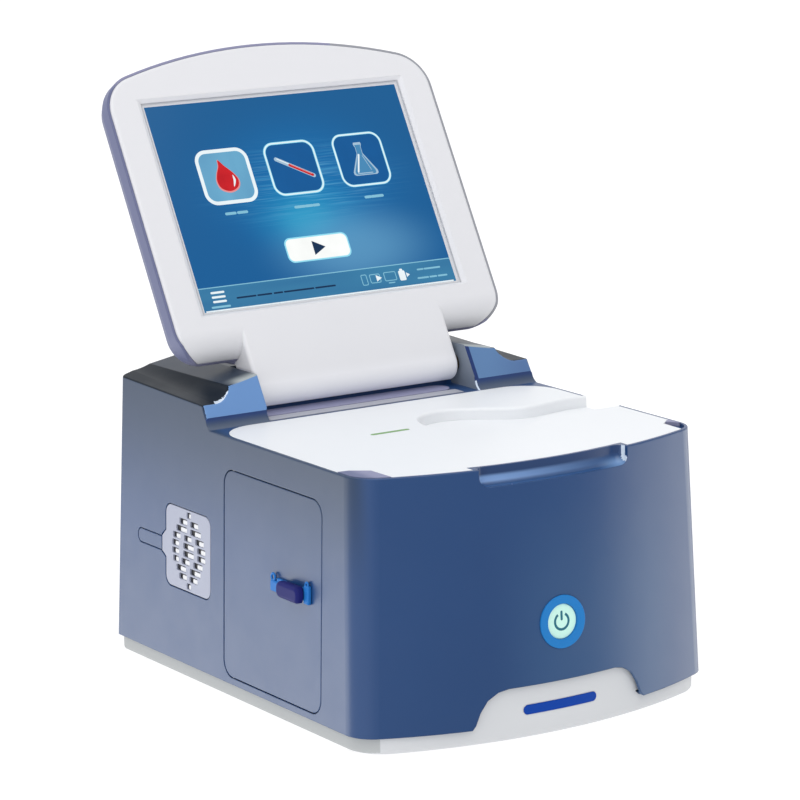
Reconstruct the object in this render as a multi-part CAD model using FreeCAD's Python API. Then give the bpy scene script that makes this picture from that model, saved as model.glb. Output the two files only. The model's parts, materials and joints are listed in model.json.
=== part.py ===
import FreeCAD, Part
import math
import os

V = FreeCAD.Vector
os.makedirs("parts", exist_ok=True)

# ---------------------------------------------------------------------------
# Bench-top blood gas analyzer. Millimetres, +Z up, front of the unit at -Y.
# Working coordinates: z = 0 at the underside of the base tray, y = 0 near
# mid depth. SHIFT moves everything so that the origin is the centre of the
# footprint at the underside of the feet, with the latch counted in.
# ---------------------------------------------------------------------------
FOOT_H = 2.0                    # feet stand this far out of the tray
SHIFT = V(3.01, -6.07, FOOT_H)

# housing: drafted walls, bowed front
Z_LO, Z_HI = 12.04, 184.5       # heights of the two reference sections
W_LO, W_HI = 142.25, 136.77     # half widths
YR_LO, YR_HI = 167.66, 160.80   # rear wall
YC_LO, BOW_LO = -158.15, 35.33  # where the front arc meets the side lines, and its bow
YC_HI, BOW_HI = -154.15, 29.39
RC = 22.64                      # front corner radius
RR = 4.6                        # rear corner radius
WALL = 2.4

# base tray
TRAY_W, TRAY_YR, TRAY_YC, TRAY_BOW, TRAY_RC = 138.43, 167.2, -158.55, 28.86, 29.43
TRAY_H, TRAY_T = 12.0, 3.0
TRAY_RR = 5.0
TAB = [(-72.0, 11.0), (-66.3, 14.6), (-62.9, 22.8), (-57.6, 30.4), (-50.0, 35.0), (-42.5, 36.5),
       (42.5, 36.5), (50.0, 35.0), (57.6, 30.4), (62.9, 22.8), (66.3, 14.6), (72.0, 11.0)]

# top deck
DECK_Z, DECK_T, DECK_INSET = 184.5, 2.5, 2.55
DECK_YR, DECK_RR = 33.0, 30.0
CH_Y = -48.0                    # centre line of the sample channel
CH_FLOOR, CH_WALL = 176.3, 2.2
CH_EDGE = [(136.0, 19.6), (123.2, 20.1), (108.0, 18.2), (94.0, 15.2), (80.2, 14.9), (69.0, 19.0), (58.0, 27.0),
           (46.6, 34.0), (36.0, 39.0), (24.0, 40.4), (11.3, 37.3), (1.0, 29.6), (-5.6, 17.0)]

# rear deck, wings and hinge pocket
FACE_A, FACE_B = (38.6, 192.0), (43.8, 200.7)   # two points (y, z) of the inclined wing face
POCKET_HW = 87.0
POCKET_WALL = 3.0

# display: centre of the active area, lean from vertical
DISP_C = V(0, 128.27, 323.2)
LEAN = math.radians(30.17)
ACT_W, ACT_H = 211.2, 158.4     # 10.4 inch, 4:3
BZ_HW = 134.0                   # bezel half width
BZ_N = 3.0                      # bezel front face ahead of the display
NECK_HW = 84.0
BARREL_R = 11.5
BARREL_V = -138.0
HEAD_BACK = -23.4               # back of the head
NECK_BACK = -20.0               # back of the neck
HINGE_N = BZ_N - BARREL_R

# side door and its latch, in the plane of the left wall
DOOR_U0, DOOR_U1, DOOR_Z0, DOOR_Z1, DOOR_R = -113.0, 13.2, 17.3, 162.0, 11.0
DOOR_T = 4.0
DOOR_GAP = 0.7
DOOR_AX_U, DOOR_AX_T = 2.4, -1.9
LATCH_U, LATCH_Z = -80.0, 96.4

# vent
VENT_U0, VENT_U1, VENT_Z0, VENT_Z1, VENT_R = 32.5, 94.2, 64.8, 122.8, 7.0

# power button
PB_Z = 76.1

parts = {}


# ------------------------------------------------------------------ helpers
def lerp(a, b, f):
    return a + (b - a) * f


def arc_params(w, yc, bow):
    r = (w * w + bow * bow) / (2.0 * bow)
    return r, yc - bow + r


R_LO, CY_LO = arc_params(W_LO, YC_LO, BOW_LO)
R_HI, CY_HI = arc_params(W_HI, YC_HI, BOW_HI)


def outline(w, yr, cy, R, rc, rr, z, rr2=None):
    """closed wire: straight rear and sides, bowed front, rounded corners"""
    fx = w - rc
    fy = cy - math.sqrt((R - rc) ** 2 - fx * fx)
    k = R / math.hypot(fx, fy - cy)
    tx, ty = fx * k, cy + (fy - cy) * k
    ang = math.atan2(ty - fy, tx - fx) / 2.0      # bisector of the corner arc, from +X
    mx, my = fx + rc * math.cos(ang), fy + rc * math.sin(ang)
    s = math.sqrt(0.5)
    p = lambda x, y: V(x, y, z)
    e = [
        Part.LineSegment(p(-(w - rr), yr), p(w - rr, yr)),
        Part.Arc(p(w - rr, yr), p(w - rr + rr * s, yr - rr + rr * s), p(w, yr - rr)),
        Part.LineSegment(p(w, yr - rr), p(w, fy)),
        Part.Arc(p(w, fy), p(mx, my), p(tx, ty)),
        Part.Arc(p(tx, ty), p(0, cy - R), p(-tx, ty)),
        Part.Arc(p(-tx, ty), p(-mx, my), p(-w, fy)),
        Part.LineSegment(p(-w, fy), p(-w, yr - rr)),
        Part.Arc(p(-w, yr - rr), p(-(w - rr + rr * s), yr - rr + rr * s), p(-(w - rr), yr)),
    ]
    return Part.Wire([c.toShape() for c in e])


def section(z, off=0.0):
    f = (z - Z_LO) / (Z_HI - Z_LO)
    return outline(lerp(W_LO, W_HI, f) + off, lerp(YR_LO, YR_HI, f) + off, lerp(CY_LO, CY_HI, f),
                   lerp(R_LO, R_HI, f) + off, RC + off, max(RR + off, 1.0), z)


def shell_loft(z0, z1, off=0.0):
    return Part.makeLoft([section(z0, off), section(z1, off)], True, True)


def tray_outline(z, off=0.0):
    R, cy = arc_params(TRAY_W, TRAY_YC, TRAY_BOW)
    return outline(TRAY_W + off, TRAY_YR + off, cy, R + off, TRAY_RC + off, max(TRAY_RR + off, 1.0), z)


def deck_outline(z, off=0.0):
    d = -DECK_INSET + off
    return outline(W_HI + d, DECK_YR + off, CY_HI, R_HI + d, RC + d, DECK_RR + off, z)


def extrude(wire, vec):
    return Part.Face(wire).extrude(vec)


def box(x0, x1, y0, y1, z0, z1):
    return Part.makeBox(x1 - x0, y1 - y0, z1 - z0, V(x0, y0, z0))


def cyl(r, h, p, d=V(0, 0, 1)):
    return Part.makeCylinder(r, h, p, d)


def tube(ro, ri, h, p, d=V(0, 0, 1)):
    return cyl(ro, h, p, d).cut(cyl(ri, h + 2, p - V(d) * 1.0, d))


def poly(pts):
    return Part.makePolygon(pts + [pts[0]])


def prism_x(pts, x0, x1):
    """polygon of (y, z) points extruded along X"""
    return extrude(poly([V(x0, y, z) for y, z in pts]), V(x1 - x0, 0, 0))


def rrect(x0, x1, y0, y1, z0, z1, r):
    """box with rounded vertical corners"""
    s = r * (1 - math.sqrt(0.5))
    P = lambda x, y: V(x, y, z0)
    e = [
        Part.LineSegment(P(x0 + r, y0), P(x1 - r, y0)),
        Part.Arc(P(x1 - r, y0), P(x1 - s, y0 + s), P(x1, y0 + r)),
        Part.LineSegment(P(x1, y0 + r), P(x1, y1 - r)),
        Part.Arc(P(x1, y1 - r), P(x1 - s, y1 - s), P(x1 - r, y1)),
        Part.LineSegment(P(x1 - r, y1), P(x0 + r, y1)),
        Part.Arc(P(x0 + r, y1), P(x0 + s, y1 - s), P(x0, y1 - r)),
        Part.LineSegment(P(x0, y1 - r), P(x0, y0 + r)),
        Part.Arc(P(x0, y0 + r), P(x0 + s, y0 + s), P(x0 + r, y0)),
    ]
    return extrude(Part.Wire([c.toShape() for c in e]), V(0, 0, z1 - z0))


def place(shape, origin, ex, ey, ez):
    """moves a shape built in local axes to origin with the given unit axes"""
    m = FreeCAD.Matrix(ex.x, ey.x, ez.x, origin.x,
                       ex.y, ey.y, ez.y, origin.y,
                       ex.z, ey.z, ez.z, origin.z,
                       0, 0, 0, 1)
    s = shape.copy()
    s.Placement = FreeCAD.Placement(m).multiply(s.Placement)
    return s


def fuse(shapes):
    s = shapes[0]
    if len(shapes) > 1:
        s = s.multiFuse(shapes[1:])
    try:
        s = s.removeSplitter()
    except Exception:
        pass
    return s


def fillet_some(shape, r, pick):
    """rounds the edges that pick() accepts, or leaves the shape as it is"""
    edges = [e for e in shape.Edges if pick(e)]
    if not edges:
        return shape
    try:
        f = shape.makeFillet(r, edges)
        if f.isValid() and f.Volume > 0 and len(f.Solids) == len(shape.Solids):
            return f
    except Exception:
        pass
    done = shape
    for e in edges:
        try:
            f = done.makeFillet(r, [e2 for e2 in done.Edges if e2.BoundBox.Center.distanceToPoint(e.BoundBox.Center) < 1e-4
                                    and abs(e2.Length - e.Length) < 1e-4])
            if f.isValid() and f.Volume > 0:
                done = f
        except Exception:
            pass
    return done


def put(name, shape):
    if isinstance(shape, (list, tuple)):
        solids = []
        for s in shape:
            solids += s.Solids
        shape = Part.makeCompound(solids)
    elif len(shape.Solids) == 1:
        shape = shape.Solids[0]
    else:
        shape = Part.makeCompound(shape.Solids)
    parts[name] = shape


# local frames --------------------------------------------------------------
# display frame: x across, y up the glass, z out of the glass
DV = V(0, math.sin(LEAN), math.cos(LEAN))
DN = V(0, -math.cos(LEAN), math.sin(LEAN))


def disp(shape):
    return place(shape, DISP_C, V(1, 0, 0), DV, DN)


def disp_pt(x, v, n):
    return DISP_C + V(x, 0, 0) + V(DV) * v + V(DN) * n


HINGE = disp_pt(0, BARREL_V, HINGE_N)

# left wall frame: x up the wall, y towards the rear, z outwards
AL = math.atan((W_LO - W_HI) / (Z_HI - Z_LO))
SW = V(math.sin(AL), 0, math.cos(AL))
ST = V(-math.cos(AL), 0, math.sin(AL))
S_ORG = V(-W_LO, 0, Z_LO)


def side(shape):
    return place(shape, S_ORG, SW, V(0, 1, 0), ST)


def wz(z):
    """height along the wall of a point of its outer face at height z"""
    return (z - Z_LO) / math.cos(AL)


# front frame at the power button: x across, y up the wall, z outwards
APEX_LO, APEX_HI = CY_LO - R_LO, CY_HI - R_HI
BE = math.atan((APEX_HI - APEX_LO) / (Z_HI - Z_LO))
PB_Y = lerp(APEX_LO, APEX_HI, (PB_Z - Z_LO) / (Z_HI - Z_LO))
PB_V = V(0, math.sin(BE), math.cos(BE))
PB_NRM = V(0, -math.cos(BE), math.sin(BE))


def front(shape):
    return place(shape, V(0, PB_Y, PB_Z), V(1, 0, 0), PB_V, PB_NRM)


# rear frame at the connector panel: x towards -X, y up, z outwards
GA = math.atan((YR_LO - YR_HI) / (Z_HI - Z_LO))
IO_Z = 52.0
IO_Y = lerp(YR_LO, YR_HI, (IO_Z - Z_LO) / (Z_HI - Z_LO))


def rear(shape):
    return place(shape, V(0, IO_Y, IO_Z), V(-1, 0, 0), V(0, -math.sin(GA), math.cos(GA)), V(0, math.cos(GA), math.sin(GA)))


# ------------------------------------------------------------------ housing
def hump(y0, y1, dz, grow=0.0):
    """solid under the rear deck: gutters along both sides, a raised middle"""
    def wire(y):
        f = (y - 44.0) / (158.0 - 44.0)
        A = [(150.0, 200.3), (126.0, 200.3), (115.4, 204.8), (112.0, 210.3), (POCKET_HW, 215.0)]
        B = [(150.0, 198.6), (126.5, 205.4), (119.5, 206.8), (112.8, 208.8), (POCKET_HW, 213.4)]
        p = [(lerp(a[0], b[0], f), lerp(a[1], b[1], f) + dz) for a, b in zip(A, B)]
        P = lambda x, z: V(x, y, z)
        r = [P(*q) for q in p]
        l = [P(-q[0], q[1]) for q in p]
        e = [
            Part.LineSegment(P(-150, 0), P(150, 0)),
            Part.LineSegment(P(150, 0), r[0]),
            Part.LineSegment(r[0], r[1]),
            Part.Arc(r[1], r[2], r[3]),
            Part.LineSegment(r[3], r[4]),
            Part.LineSegment(r[4], l[4]),
            Part.LineSegment(l[4], l[3]),
            Part.Arc(l[3], l[2], l[1]),
            Part.LineSegment(l[1], l[0]),
            Part.LineSegment(l[0], P(-150, 0)),
        ]
        return Part.Wire([c.toShape() for c in e])
    return Part.makeLoft([wire(y0), wire(y1)], True, True)


def wing_profile(back=0.0, floor=DECK_Z, y_start=33.2):
    """side profile behind the deck: cove, then the inclined face; back moves it rearwards"""
    slope = (FACE_B[0] - FACE_A[0]) / (FACE_B[1] - FACE_A[1])
    top_z = 232.0
    top_y = FACE_A[0] + (top_z - FACE_A[1]) * slope
    P = lambda y, z: V(-160, y + back, z)
    e = [
        Part.LineSegment(V(-160, y_start + back, 0), V(-160, y_start + back, floor)),
        Part.Arc(V(-160, y_start + back, floor), P(36.9, 187.4 + min(0, floor - DECK_Z) * 0.4), P(*FACE_A)),
        Part.LineSegment(P(*FACE_A), P(top_y, top_z)),
        Part.LineSegment(P(top_y, top_z), V(-160, 200, top_z)),
        Part.LineSegment(V(-160, 200, top_z), V(-160, 200, 0)),
        Part.LineSegment(V(-160, 200, 0), V(-160, y_start + back, 0)),
    ]
    return extrude(Part.Wire([c.toShape() for c in e]), V(320, 0, 0))


body = shell_loft(Z_LO, 219.0)
front_part = body.common(box(-160, 160, -220, 33.2, 0, DECK_Z))
rear_part = body.common(wing_profile()).common(hump(33.2, 172.0, 0.0))
front_part = fillet_some(front_part, 0.8, lambda e: e.BoundBox.ZMin > DECK_Z - 0.1 and e.BoundBox.YMin < 33.0)
outer = fuse([front_part, rear_part])
outer = fillet_some(outer, 1.2, lambda e: e.BoundBox.ZMin > 190 and e.BoundBox.YMax > 60
                    and (e.BoundBox.YLength > 20 or e.BoundBox.YMin > 100))

# pocket for the neck, between the wings
py, pz = HINGE.y, HINGE.z
cx_, sx_ = math.cos(LEAN), math.sin(LEAN)


def pocket(clear, hw, floor, y0):
    a = (py + (BARREL_R + clear) * cx_, pz - (BARREL_R + clear) * sx_)
    t = (232.0 - a[1]) / cx_
    return prism_x([(y0, floor), (py + 2.0 + clear * 0.5, floor), a, (a[0] + t * sx_, 232.0), (y0, 232.0)], -hw, hw)


pocket_in = pocket(1.5, POCKET_HW, DECK_Z, 33.2)
pocket_out = pocket(1.5 + POCKET_WALL, POCKET_HW + POCKET_WALL, DECK_Z - POCKET_WALL, 30.0)
outer = outer.cut(pocket_in)
outer = fillet_some(outer, 1.6, lambda e: abs(abs(e.BoundBox.XMin) - POCKET_HW) < 0.01 and e.BoundBox.XLength < 0.01
                    and e.BoundBox.ZMin > DECK_Z - 0.1 and e.BoundBox.ZMax < 216 and e.Length > 5 and e.BoundBox.YMax < 53)

f_n = V(0, FACE_B[1] - FACE_A[1], FACE_A[0] - FACE_B[0]).normalize()


def on_face(e):
    return all(abs((p.Point - V(0, FACE_A[0], FACE_A[1])).dot(V(0, f_n.y, f_n.z))) < 0.05 for p in e.Vertexes)


outer = fillet_some(outer, 1.5, lambda e: len(e.Vertexes) == 2 and on_face(e) and e.BoundBox.ZMin > 197.0
                    and e.BoundBox.XLength > 3.0 and abs(e.BoundBox.Center.x) > 92.0)
inner_body = shell_loft(10.0, 219.0, -WALL)
cav_front = inner_body.common(box(-160, 160, -220, 36.3, 0, 180.0))
cav_rear = inner_body.common(wing_profile(back=3.3, floor=180.0, y_start=33.0)).common(hump(36.0, 172.0, -3.0))
cavity = fuse([cav_front, cav_rear]).cut(pocket_out)
shell = outer.cut(cavity)

# inward flange that stands on the tray rim
flange = shell_loft(Z_LO, Z_LO + 2.5, -0.5).cut(shell_loft(Z_LO - 1, Z_LO + 4, -9.0))
lug_xy = [(131.5, -136.0), (-131.5, -136.0), (131.5, 139.0), (-131.5, 139.0)]
lugs = []
for x, y in lug_xy:
    sgn = 1 if x > 0 else -1
    b = box(min(x, x + sgn * 8), max(x, x + sgn * 8), y - 4.5, y + 4.5, Z_LO, 26.0)
    lugs.append(fuse([cyl(5.0, 26.0 - Z_LO, V(x, y, Z_LO)), b]).common(shell_loft(Z_LO, 40.0, -0.6)))
shell = fuse([shell, flange] + lugs)
for x, y in lug_xy:
    shell = shell.cut(cyl(1.55, 12.5, V(x, y, Z_LO - 0.5)))

# opening for the deck, with a ledge under it
shell = shell.cut(extrude(deck_outline(DECK_Z - DECK_T, 0.15), V(0, 0, 12)).cut(pocket_in))
shell = shell.cut(extrude(deck_outline(170.0, -4.0), V(0, 0, 30)).common(box(-160, 160, -220, 29.2, 0, 200)))

# finger scoop in the top front edge, with its own wall
SC_Z, SC_D, SC_X, SC_CX = DECK_Z - 12.0, 8.0, 60.0, 2.5      # floor, depth into the front, half length, centre
SC_FR = 6.5                                                  # round between the floor and the back of the scoop


def scoop(off, grow, ends, rounded=False):
    """space along the bowed front edge: flat floor, upright back; the ends are straight or rounded like the back"""
    ring = extrude(outline(W_HI + 9.0, YR_HI, CY_HI, R_HI + 9.0, RC + 9.0, RR, SC_Z - grow), V(0, 0, 24.0 + grow)).cut(
        extrude(outline(W_HI - SC_D - off, YR_HI - 20.0, CY_HI, R_HI - SC_D - off, RC - SC_D - off, RR, SC_Z - grow - 1.0), V(0, 0, 30.0 + grow)))
    ring = ring.common(box(SC_CX - SC_X - ends, SC_CX + SC_X + ends, -220, -120, 100, 260))
    at_end = lambda c: abs(abs(c.x - SC_CX) - SC_X - ends) < 0.01
    return fillet_some(ring, SC_FR + grow, lambda e: e.BoundBox.YMax > -178.0 + off and (
        e.BoundBox.ZMax < SC_Z - grow + 0.01 and (e.Length > 60 or rounded and at_end(e.BoundBox.Center))
        or rounded and at_end(e.BoundBox.Center) and e.BoundBox.ZLength > 3.0 and e.BoundBox.YLength < 0.1))


scoop_wall = scoop(WALL, WALL, WALL).common(shell_loft(150.0, DECK_Z, -0.3))
scoop_cut = scoop(0.0, 0.0, 0.0, rounded=True)
shell = fuse([shell, scoop_wall]).cut(scoop_cut)


# sample channel plan: a rounded bowl that narrows and leaves through the right wall
def channel(z0, z1, off=0.0, x_end=150.0):
    up = []
    n = len(CH_EDGE)
    for i, (x, h) in enumerate(CH_EDGE):
        a = CH_EDGE[max(i - 1, 0)]
        b = CH_EDGE[min(i + 1, n - 1)]
        tx, ty = b[0] - a[0], b[1] - a[1]
        L = math.hypot(tx, ty)
        nx, ny = ty / L, -tx / L          # outward from the channel
        up.append((x + nx * off, h + ny * off))
    tip = (-8.2 - off, 0.0)
    pts = [V(x, CH_Y + h, z0) for x, h in up] + [V(tip[0], CH_Y, z0)] + [V(x, CH_Y - h, z0) for x, h in reversed(up)]
    c = Part.BSplineCurve()
    c.interpolate(pts)
    h = up[0][1]
    e = [c.toShape(),
         Part.LineSegment(pts[-1], V(x_end, CH_Y - h, z0)).toShape(),
         Part.LineSegment(V(x_end, CH_Y - h, z0), V(x_end, CH_Y + h, z0)).toShape(),
         Part.LineSegment(V(x_end, CH_Y + h, z0), pts[0]).toShape()]
    return extrude(Part.Wire(e), V(0, 0, z1 - z0))


ch_outer = channel(CH_FLOOR - CH_WALL, DECK_Z, CH_WALL)
shell = shell.cut(channel(CH_FLOOR - CH_WALL - 0.2, DECK_Z + 5, CH_WALL + 0.2).common(box(120, 160, -100, 20, 150, 200)))

# window for the side door
door_w0, door_w1 = wz(DOOR_Z0), wz(DOOR_Z1)
door_open = side(rrect(door_w0 - DOOR_GAP, door_w1 + DOOR_GAP, DOOR_U0 - DOOR_GAP, DOOR_U1 + 0.8, -4.0, 4.0, DOOR_R + DOOR_GAP))
shell = shell.cut(door_open)
pin_r = 1.2
pin_bore = side(cyl(pin_r + 0.02, door_w1 - door_w0 + 16, V(door_w0 - 8, DOOR_AX_U, DOOR_AX_T), V(1, 0, 0)))
shell = shell.cut(pin_bore.common(side(box(door_w0 - 4.8, door_w0 + 12, 0, 20, -10, 10)).fuse(side(box(door_w1 - 12, door_w1 + 8, 0, 20, -10, 10)))))


# vent outline, with the neck that points to the finger recess
def vent_plan(off, z0, z1):
    w0, w1 = wz(VENT_Z0) - off, wz(VENT_Z1) + off
    u0, u1 = VENT_U0 - off, VENT_U1 + off
    r = VENT_R + off
    na, nb = wz(83.6) - off * 0.5, wz(103.4) + off * 0.5
    ea, eb = wz(87.0) - off, wz(98.0) + off
    ue = 99.9 + off
    s = r * (1 - math.sqrt(0.5))
    P = lambda w, u: V(w, u, z0)
    um = lerp(u1, ue, 0.45)
    e = [
        Part.LineSegment(P(w0 + r, u0), P(w1 - r, u0)),
        Part.Arc(P(w1 - r, u0), P(w1 - s, u0 + s), P(w1, u0 + r)),
        Part.LineSegment(P(w1, u0 + r), P(w1, u1 - r)),
        Part.Arc(P(w1, u1 - r), P(w1 - s, u1 - s), P(w1 - r, u1)),
        Part.LineSegment(P(w1 - r, u1), P(nb, u1)),
        Part.Arc(P(nb, u1), P(lerp(nb, eb, 0.42), um), P(eb, ue)),
        Part.LineSegment(P(eb, ue), P(ea, ue)),
        Part.Arc(P(ea, ue), P(lerp(na, ea, 0.58), um), P(na, u1)),
        Part.LineSegment(P(na, u1), P(w0 + r, u1)),
        Part.Arc(P(w0 + r, u1), P(w0 + s, u1 - s), P(w0, u1 - r)),
        Part.LineSegment(P(w0, u1 - r), P(w0, u0 + r)),
        Part.Arc(P(w0, u0 + r), P(w0 + s, u0 + s), P(w0 + r, u0)),
    ]
    return extrude(Part.Wire([c.toShape() for c in e]), V(0, 0, z1 - z0))


shell = shell.cut(side(vent_plan(0.7, -6.0, 4.0)))
rec_w0, rec_w1 = wz(87.0), wz(98.0)
rec_r = (rec_w1 - rec_w0) / 2 - 0.3
recess = fuse([box(rec_w0, rec_w1, 100.9, 134.8 - rec_r, -1.1, 3.0),
               rrect(rec_w0, rec_w1, 134.8 - 2 * rec_r - 1, 134.8, -1.1, 3.0, rec_r)])
g = 0.8                                  # width of the outline groove
recess = recess.cut(fuse([box(rec_w0 + g, rec_w1 - g, 95.0, 134.8 - rec_r, -2.0, 4.0),
                          rrect(rec_w0 + g, rec_w1 - g, 134.8 - 2 * rec_r, 134.8 - g, -2.0, 4.0, rec_r - g)]))
shell = shell.cut(side(recess))

# hole for the power button's sleeve
shell = shell.cut(front(cyl(15.0, 30, V(0, 0, -20))))

# notch for the raised tab of the tray
tab_face = poly([V(x, -230, z - 1.0 if z < 12 else z) for x, z in TAB])
tab_prism = extrude(tab_face, V(0, 90, 0))
tab_notch = extrude(poly([V(x * 1.014, -230, (z - 3.0) if z < 12 else z + 0.4) for x, z in TAB]), V(0, 62, 0))
shell = shell.cut(tab_notch)

# rear: connector window and exhaust slots
shell = shell.cut(rear(rrect(-58, 58, -21, 21, -6, 4, 4)))
for i in range(12):
    xs = -104 + i * 7.0
    shell = shell.cut(box(xs - 1.5, xs + 1.5, 150, 175, 104, 140))

# bush holes in the pocket's end walls
BUSH_R = 7.0
shell = shell.cut(cyl(BUSH_R + 0.02, 300, V(-150, HINGE.y, HINGE.z), V(1, 0, 0)).common(
    fuse([box(-92, -85, 40, 90, 180, 215), box(85, 92, 40, 90, 180, 215)])))
put("outer_shell", shell)

# ------------------------------------------------------------------ tray
tray = extrude(tray_outline(0.0), V(0, 0, TRAY_H))
tray = fillet_some(tray, 3.0, lambda e: e.BoundBox.ZMax < 0.01)
tray = tray.cut(extrude(tray_outline(TRAY_T, -TRAY_T), V(0, 0, TRAY_H)))
TAB_IN = [(-66.3, 11.0), (-66.3, 15.4), (-71.5, 15.4), (-69.0, 25.0), (-61.5, 35.0), (-51.0, 39.0), (-42.5, 40.0)]
tab_wide = extrude(poly([V(x, -230, z) for x, z in TAB_IN] + [V(-x, -230, z) for x, z in reversed(TAB_IN)]), V(0, 90, 0))
tab = extrude(tray_outline(6.0), V(0, 0, 40)).cut(extrude(tray_outline(5.0, -TRAY_T), V(0, 0, 50))).common(fuse([tab_prism, tab_wide]))
bosses = [cyl(5.0, TRAY_H - 1.0, V(x, y, 1.0)) for x, y in lug_xy]
tray = fuse([tray, tab] + bosses)
foot_xy = [(108, -132), (-108, -132), (108, 134), (-108, 134)]
for x, y in foot_xy:
    tray = tray.cut(cyl(3.0, 10, V(x, y, -3)))
for x, y in lug_xy:
    tray = tray.cut(cyl(1.6, 20, V(x, y, -1))).cut(cyl(3.2, 3.5, V(x, y, -1)))
std_xy = [(-70, -60), (104, -20), (-100, 60), (100, 60), (0, -138), (50, 138)]
for x, y in std_xy:
    tray = tray.cut(cyl(2.0, 10, V(x, y, -1)))
for i in range(14):                      # intake slots in the floor
    tray = tray.cut(box(-45.5 + i * 7 - 1.5, -45.5 + i * 7 + 1.5, 20, 80, -1, 5))
# slot for the light bar
LB_W, LB_H, LB_Z = 59.0, 6.5, 19.3


def stadium_y(half_w, r, z, y0, y1):
    return fuse([cyl(r, y1 - y0, V(-(half_w - r), y0, z), V(0, 1, 0)), cyl(r, y1 - y0, V(half_w - r, y0, z), V(0, 1, 0)),
                 box(-(half_w - r), half_w - r, y0, y1, z - r, z + r)])


tray = tray.cut(stadium_y(LB_W / 2 + 0.1, LB_H / 2 + 0.1, LB_Z, -200, -175))
put("base_tray", tray)

lens = stadium_y(LB_W / 2, LB_H / 2, LB_Z, -200, -175).common(
    extrude(tray_outline(5.0, 0.35), V(0, 0, 40)).cut(extrude(tray_outline(4.0, -2.6), V(0, 0, 50))))
put("light_bar_lens", lens)
put("light_bar_board", box(-36, 36, -182.0, -180.4, 14, 25))
put("rubber_feet", [fuse([cyl(9.0, FOOT_H, V(x, y, -FOOT_H)), cyl(2.95, TRAY_T + 1.2, V(x, y, -0.5))]) for x, y in foot_xy])
put("base_screws", [fuse([cyl(2.9, 2.0, V(x, y, 0.45)), cyl(1.5, 19.0, V(x, y, 2.0))]) for x, y in lug_xy])

# ------------------------------------------------------------------ deck
deck = extrude(deck_outline(DECK_Z - DECK_T), V(0, 0, DECK_T))
ch_tool = fillet_some(channel(CH_FLOOR, DECK_Z + 5), 4.0, lambda e: e.BoundBox.ZMax < CH_FLOOR + 0.01 and e.Length > 200)
deck = fuse([deck, ch_outer.common(box(-160, 160, -220, 60, 150, DECK_Z))]).cut(ch_tool)
deck = fillet_some(deck, 2.0, lambda e: abs(e.BoundBox.ZMin - DECK_Z) < 1e-3 and abs(e.BoundBox.ZMax - DECK_Z) < 1e-3
                   and abs(e.BoundBox.Center.y - CH_Y) < 30 and e.Length > 300 and e.BoundBox.XMin > -20)
trim = shell_loft(150.0, DECK_Z + 4, 0.0)
in_open = extrude(deck_outline(150.0), V(0, 0, 60))
deck = deck.common(fuse([in_open, trim.common(box(120, 160, -100, 20, 150, 200))]))
deck = deck.cut(scoop(WALL + 0.2, WALL, WALL + 0.2))


# closure pads in the deck's front corners
def corner(sgn, off):
    if sgn > 0:     # smaller on the right
        pts = [(150, -128.0 + off), (132.0 - off, -129.6 + off), (124.5 - off, -136.5 + off), (123.0 - off, -190.0), (150, -190.0)]
    else:
        pts = [(-150, -126.0 + off), (off - 126.2, -128.6 + off), (off - 114.5, -137.5 + off), (off - 113.0, -190.0), (-150, -190.0)]
    return extrude(poly([V(x, y, 170.0) for x, y in pts]), V(0, 0, 30))


pads = []
for sgn in (-1, 1):
    deck = deck.cut(corner(sgn, 0.25))
    pad = extrude(deck_outline(DECK_Z - DECK_T - 0.0, -0.1), V(0, 0, DECK_T + 0.3)).common(corner(sgn, 0.0))
    if sgn > 0:     # the right pad leaves a small dark gap at its front
        pad = pad.cut(extrude(poly([V(118, -132.0, 170), V(127.0, -132.6, 170), V(131.6, -137.0, 170), V(137.5, -149.0, 170), V(130, -175, 170), V(118, -175, 170)]), V(0, 0, 30)))
    pads.append(pad)
put("closure_pads", pads)
LED = (-55.6, -24.8, -47.0, -43.4)
led_box = rrect(LED[0], LED[1], LED[2], LED[3], DECK_Z - 1.5, DECK_Z + 0.12, 1.7)
deck = deck.cut(rrect(LED[0] - 0.05, LED[1] + 0.05, LED[2] - 0.05, LED[3] + 0.05, DECK_Z - 1.5, DECK_Z + 3, 1.75))
put("status_light", led_box)
# hole for the sample port
PORT = (18.0, -64.0)
deck = deck.cut(cyl(5.0, 10, V(PORT[0], PORT[1], CH_FLOOR - 6)))
put("top_deck", deck)
put("sample_port", fuse([cyl(4.95, CH_WALL + 0.6, V(PORT[0], PORT[1], CH_FLOOR - CH_WALL)), cyl(6.4, 0.8, V(PORT[0], PORT[1], CH_FLOOR))]).cut(
    cyl(1.05, 5, V(PORT[0], PORT[1], CH_FLOOR - CH_WALL - 1))))

# strips on the floor of the hinge pocket
strip_a = box(-86.5, 74.6, 35.5, 46.5, DECK_Z, DECK_Z + 0.5)
strip_b = fuse([box(-86.5, 65.1, 47.0, 66.0, DECK_Z, DECK_Z + 0.8), cyl(9.5, 0.8, V(65.1, 56.5, DECK_Z))])
put("pocket_strip", strip_a)
put("pocket_plate", strip_b)

# ------------------------------------------------------------------ power button
ring = cyl(18.0, 1.4, V(0, 0, -0.6)).cut(cyl(12.0, 20, V(0, 0, -12)))
ring = fillet_some(ring, 0.55, lambda e: e.BoundBox.ZMin > 0.7)
sleeve = cyl(14.9, 9.5, V(0, 0, -10.0)).cut(cyl(12.0, 20, V(0, 0, -12)))
flap = fuse([ring, sleeve])
flap = flap.cut(cyl(3.3, 30, V(0, 0, -30)))
put("power_ring", front(flap))
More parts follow.
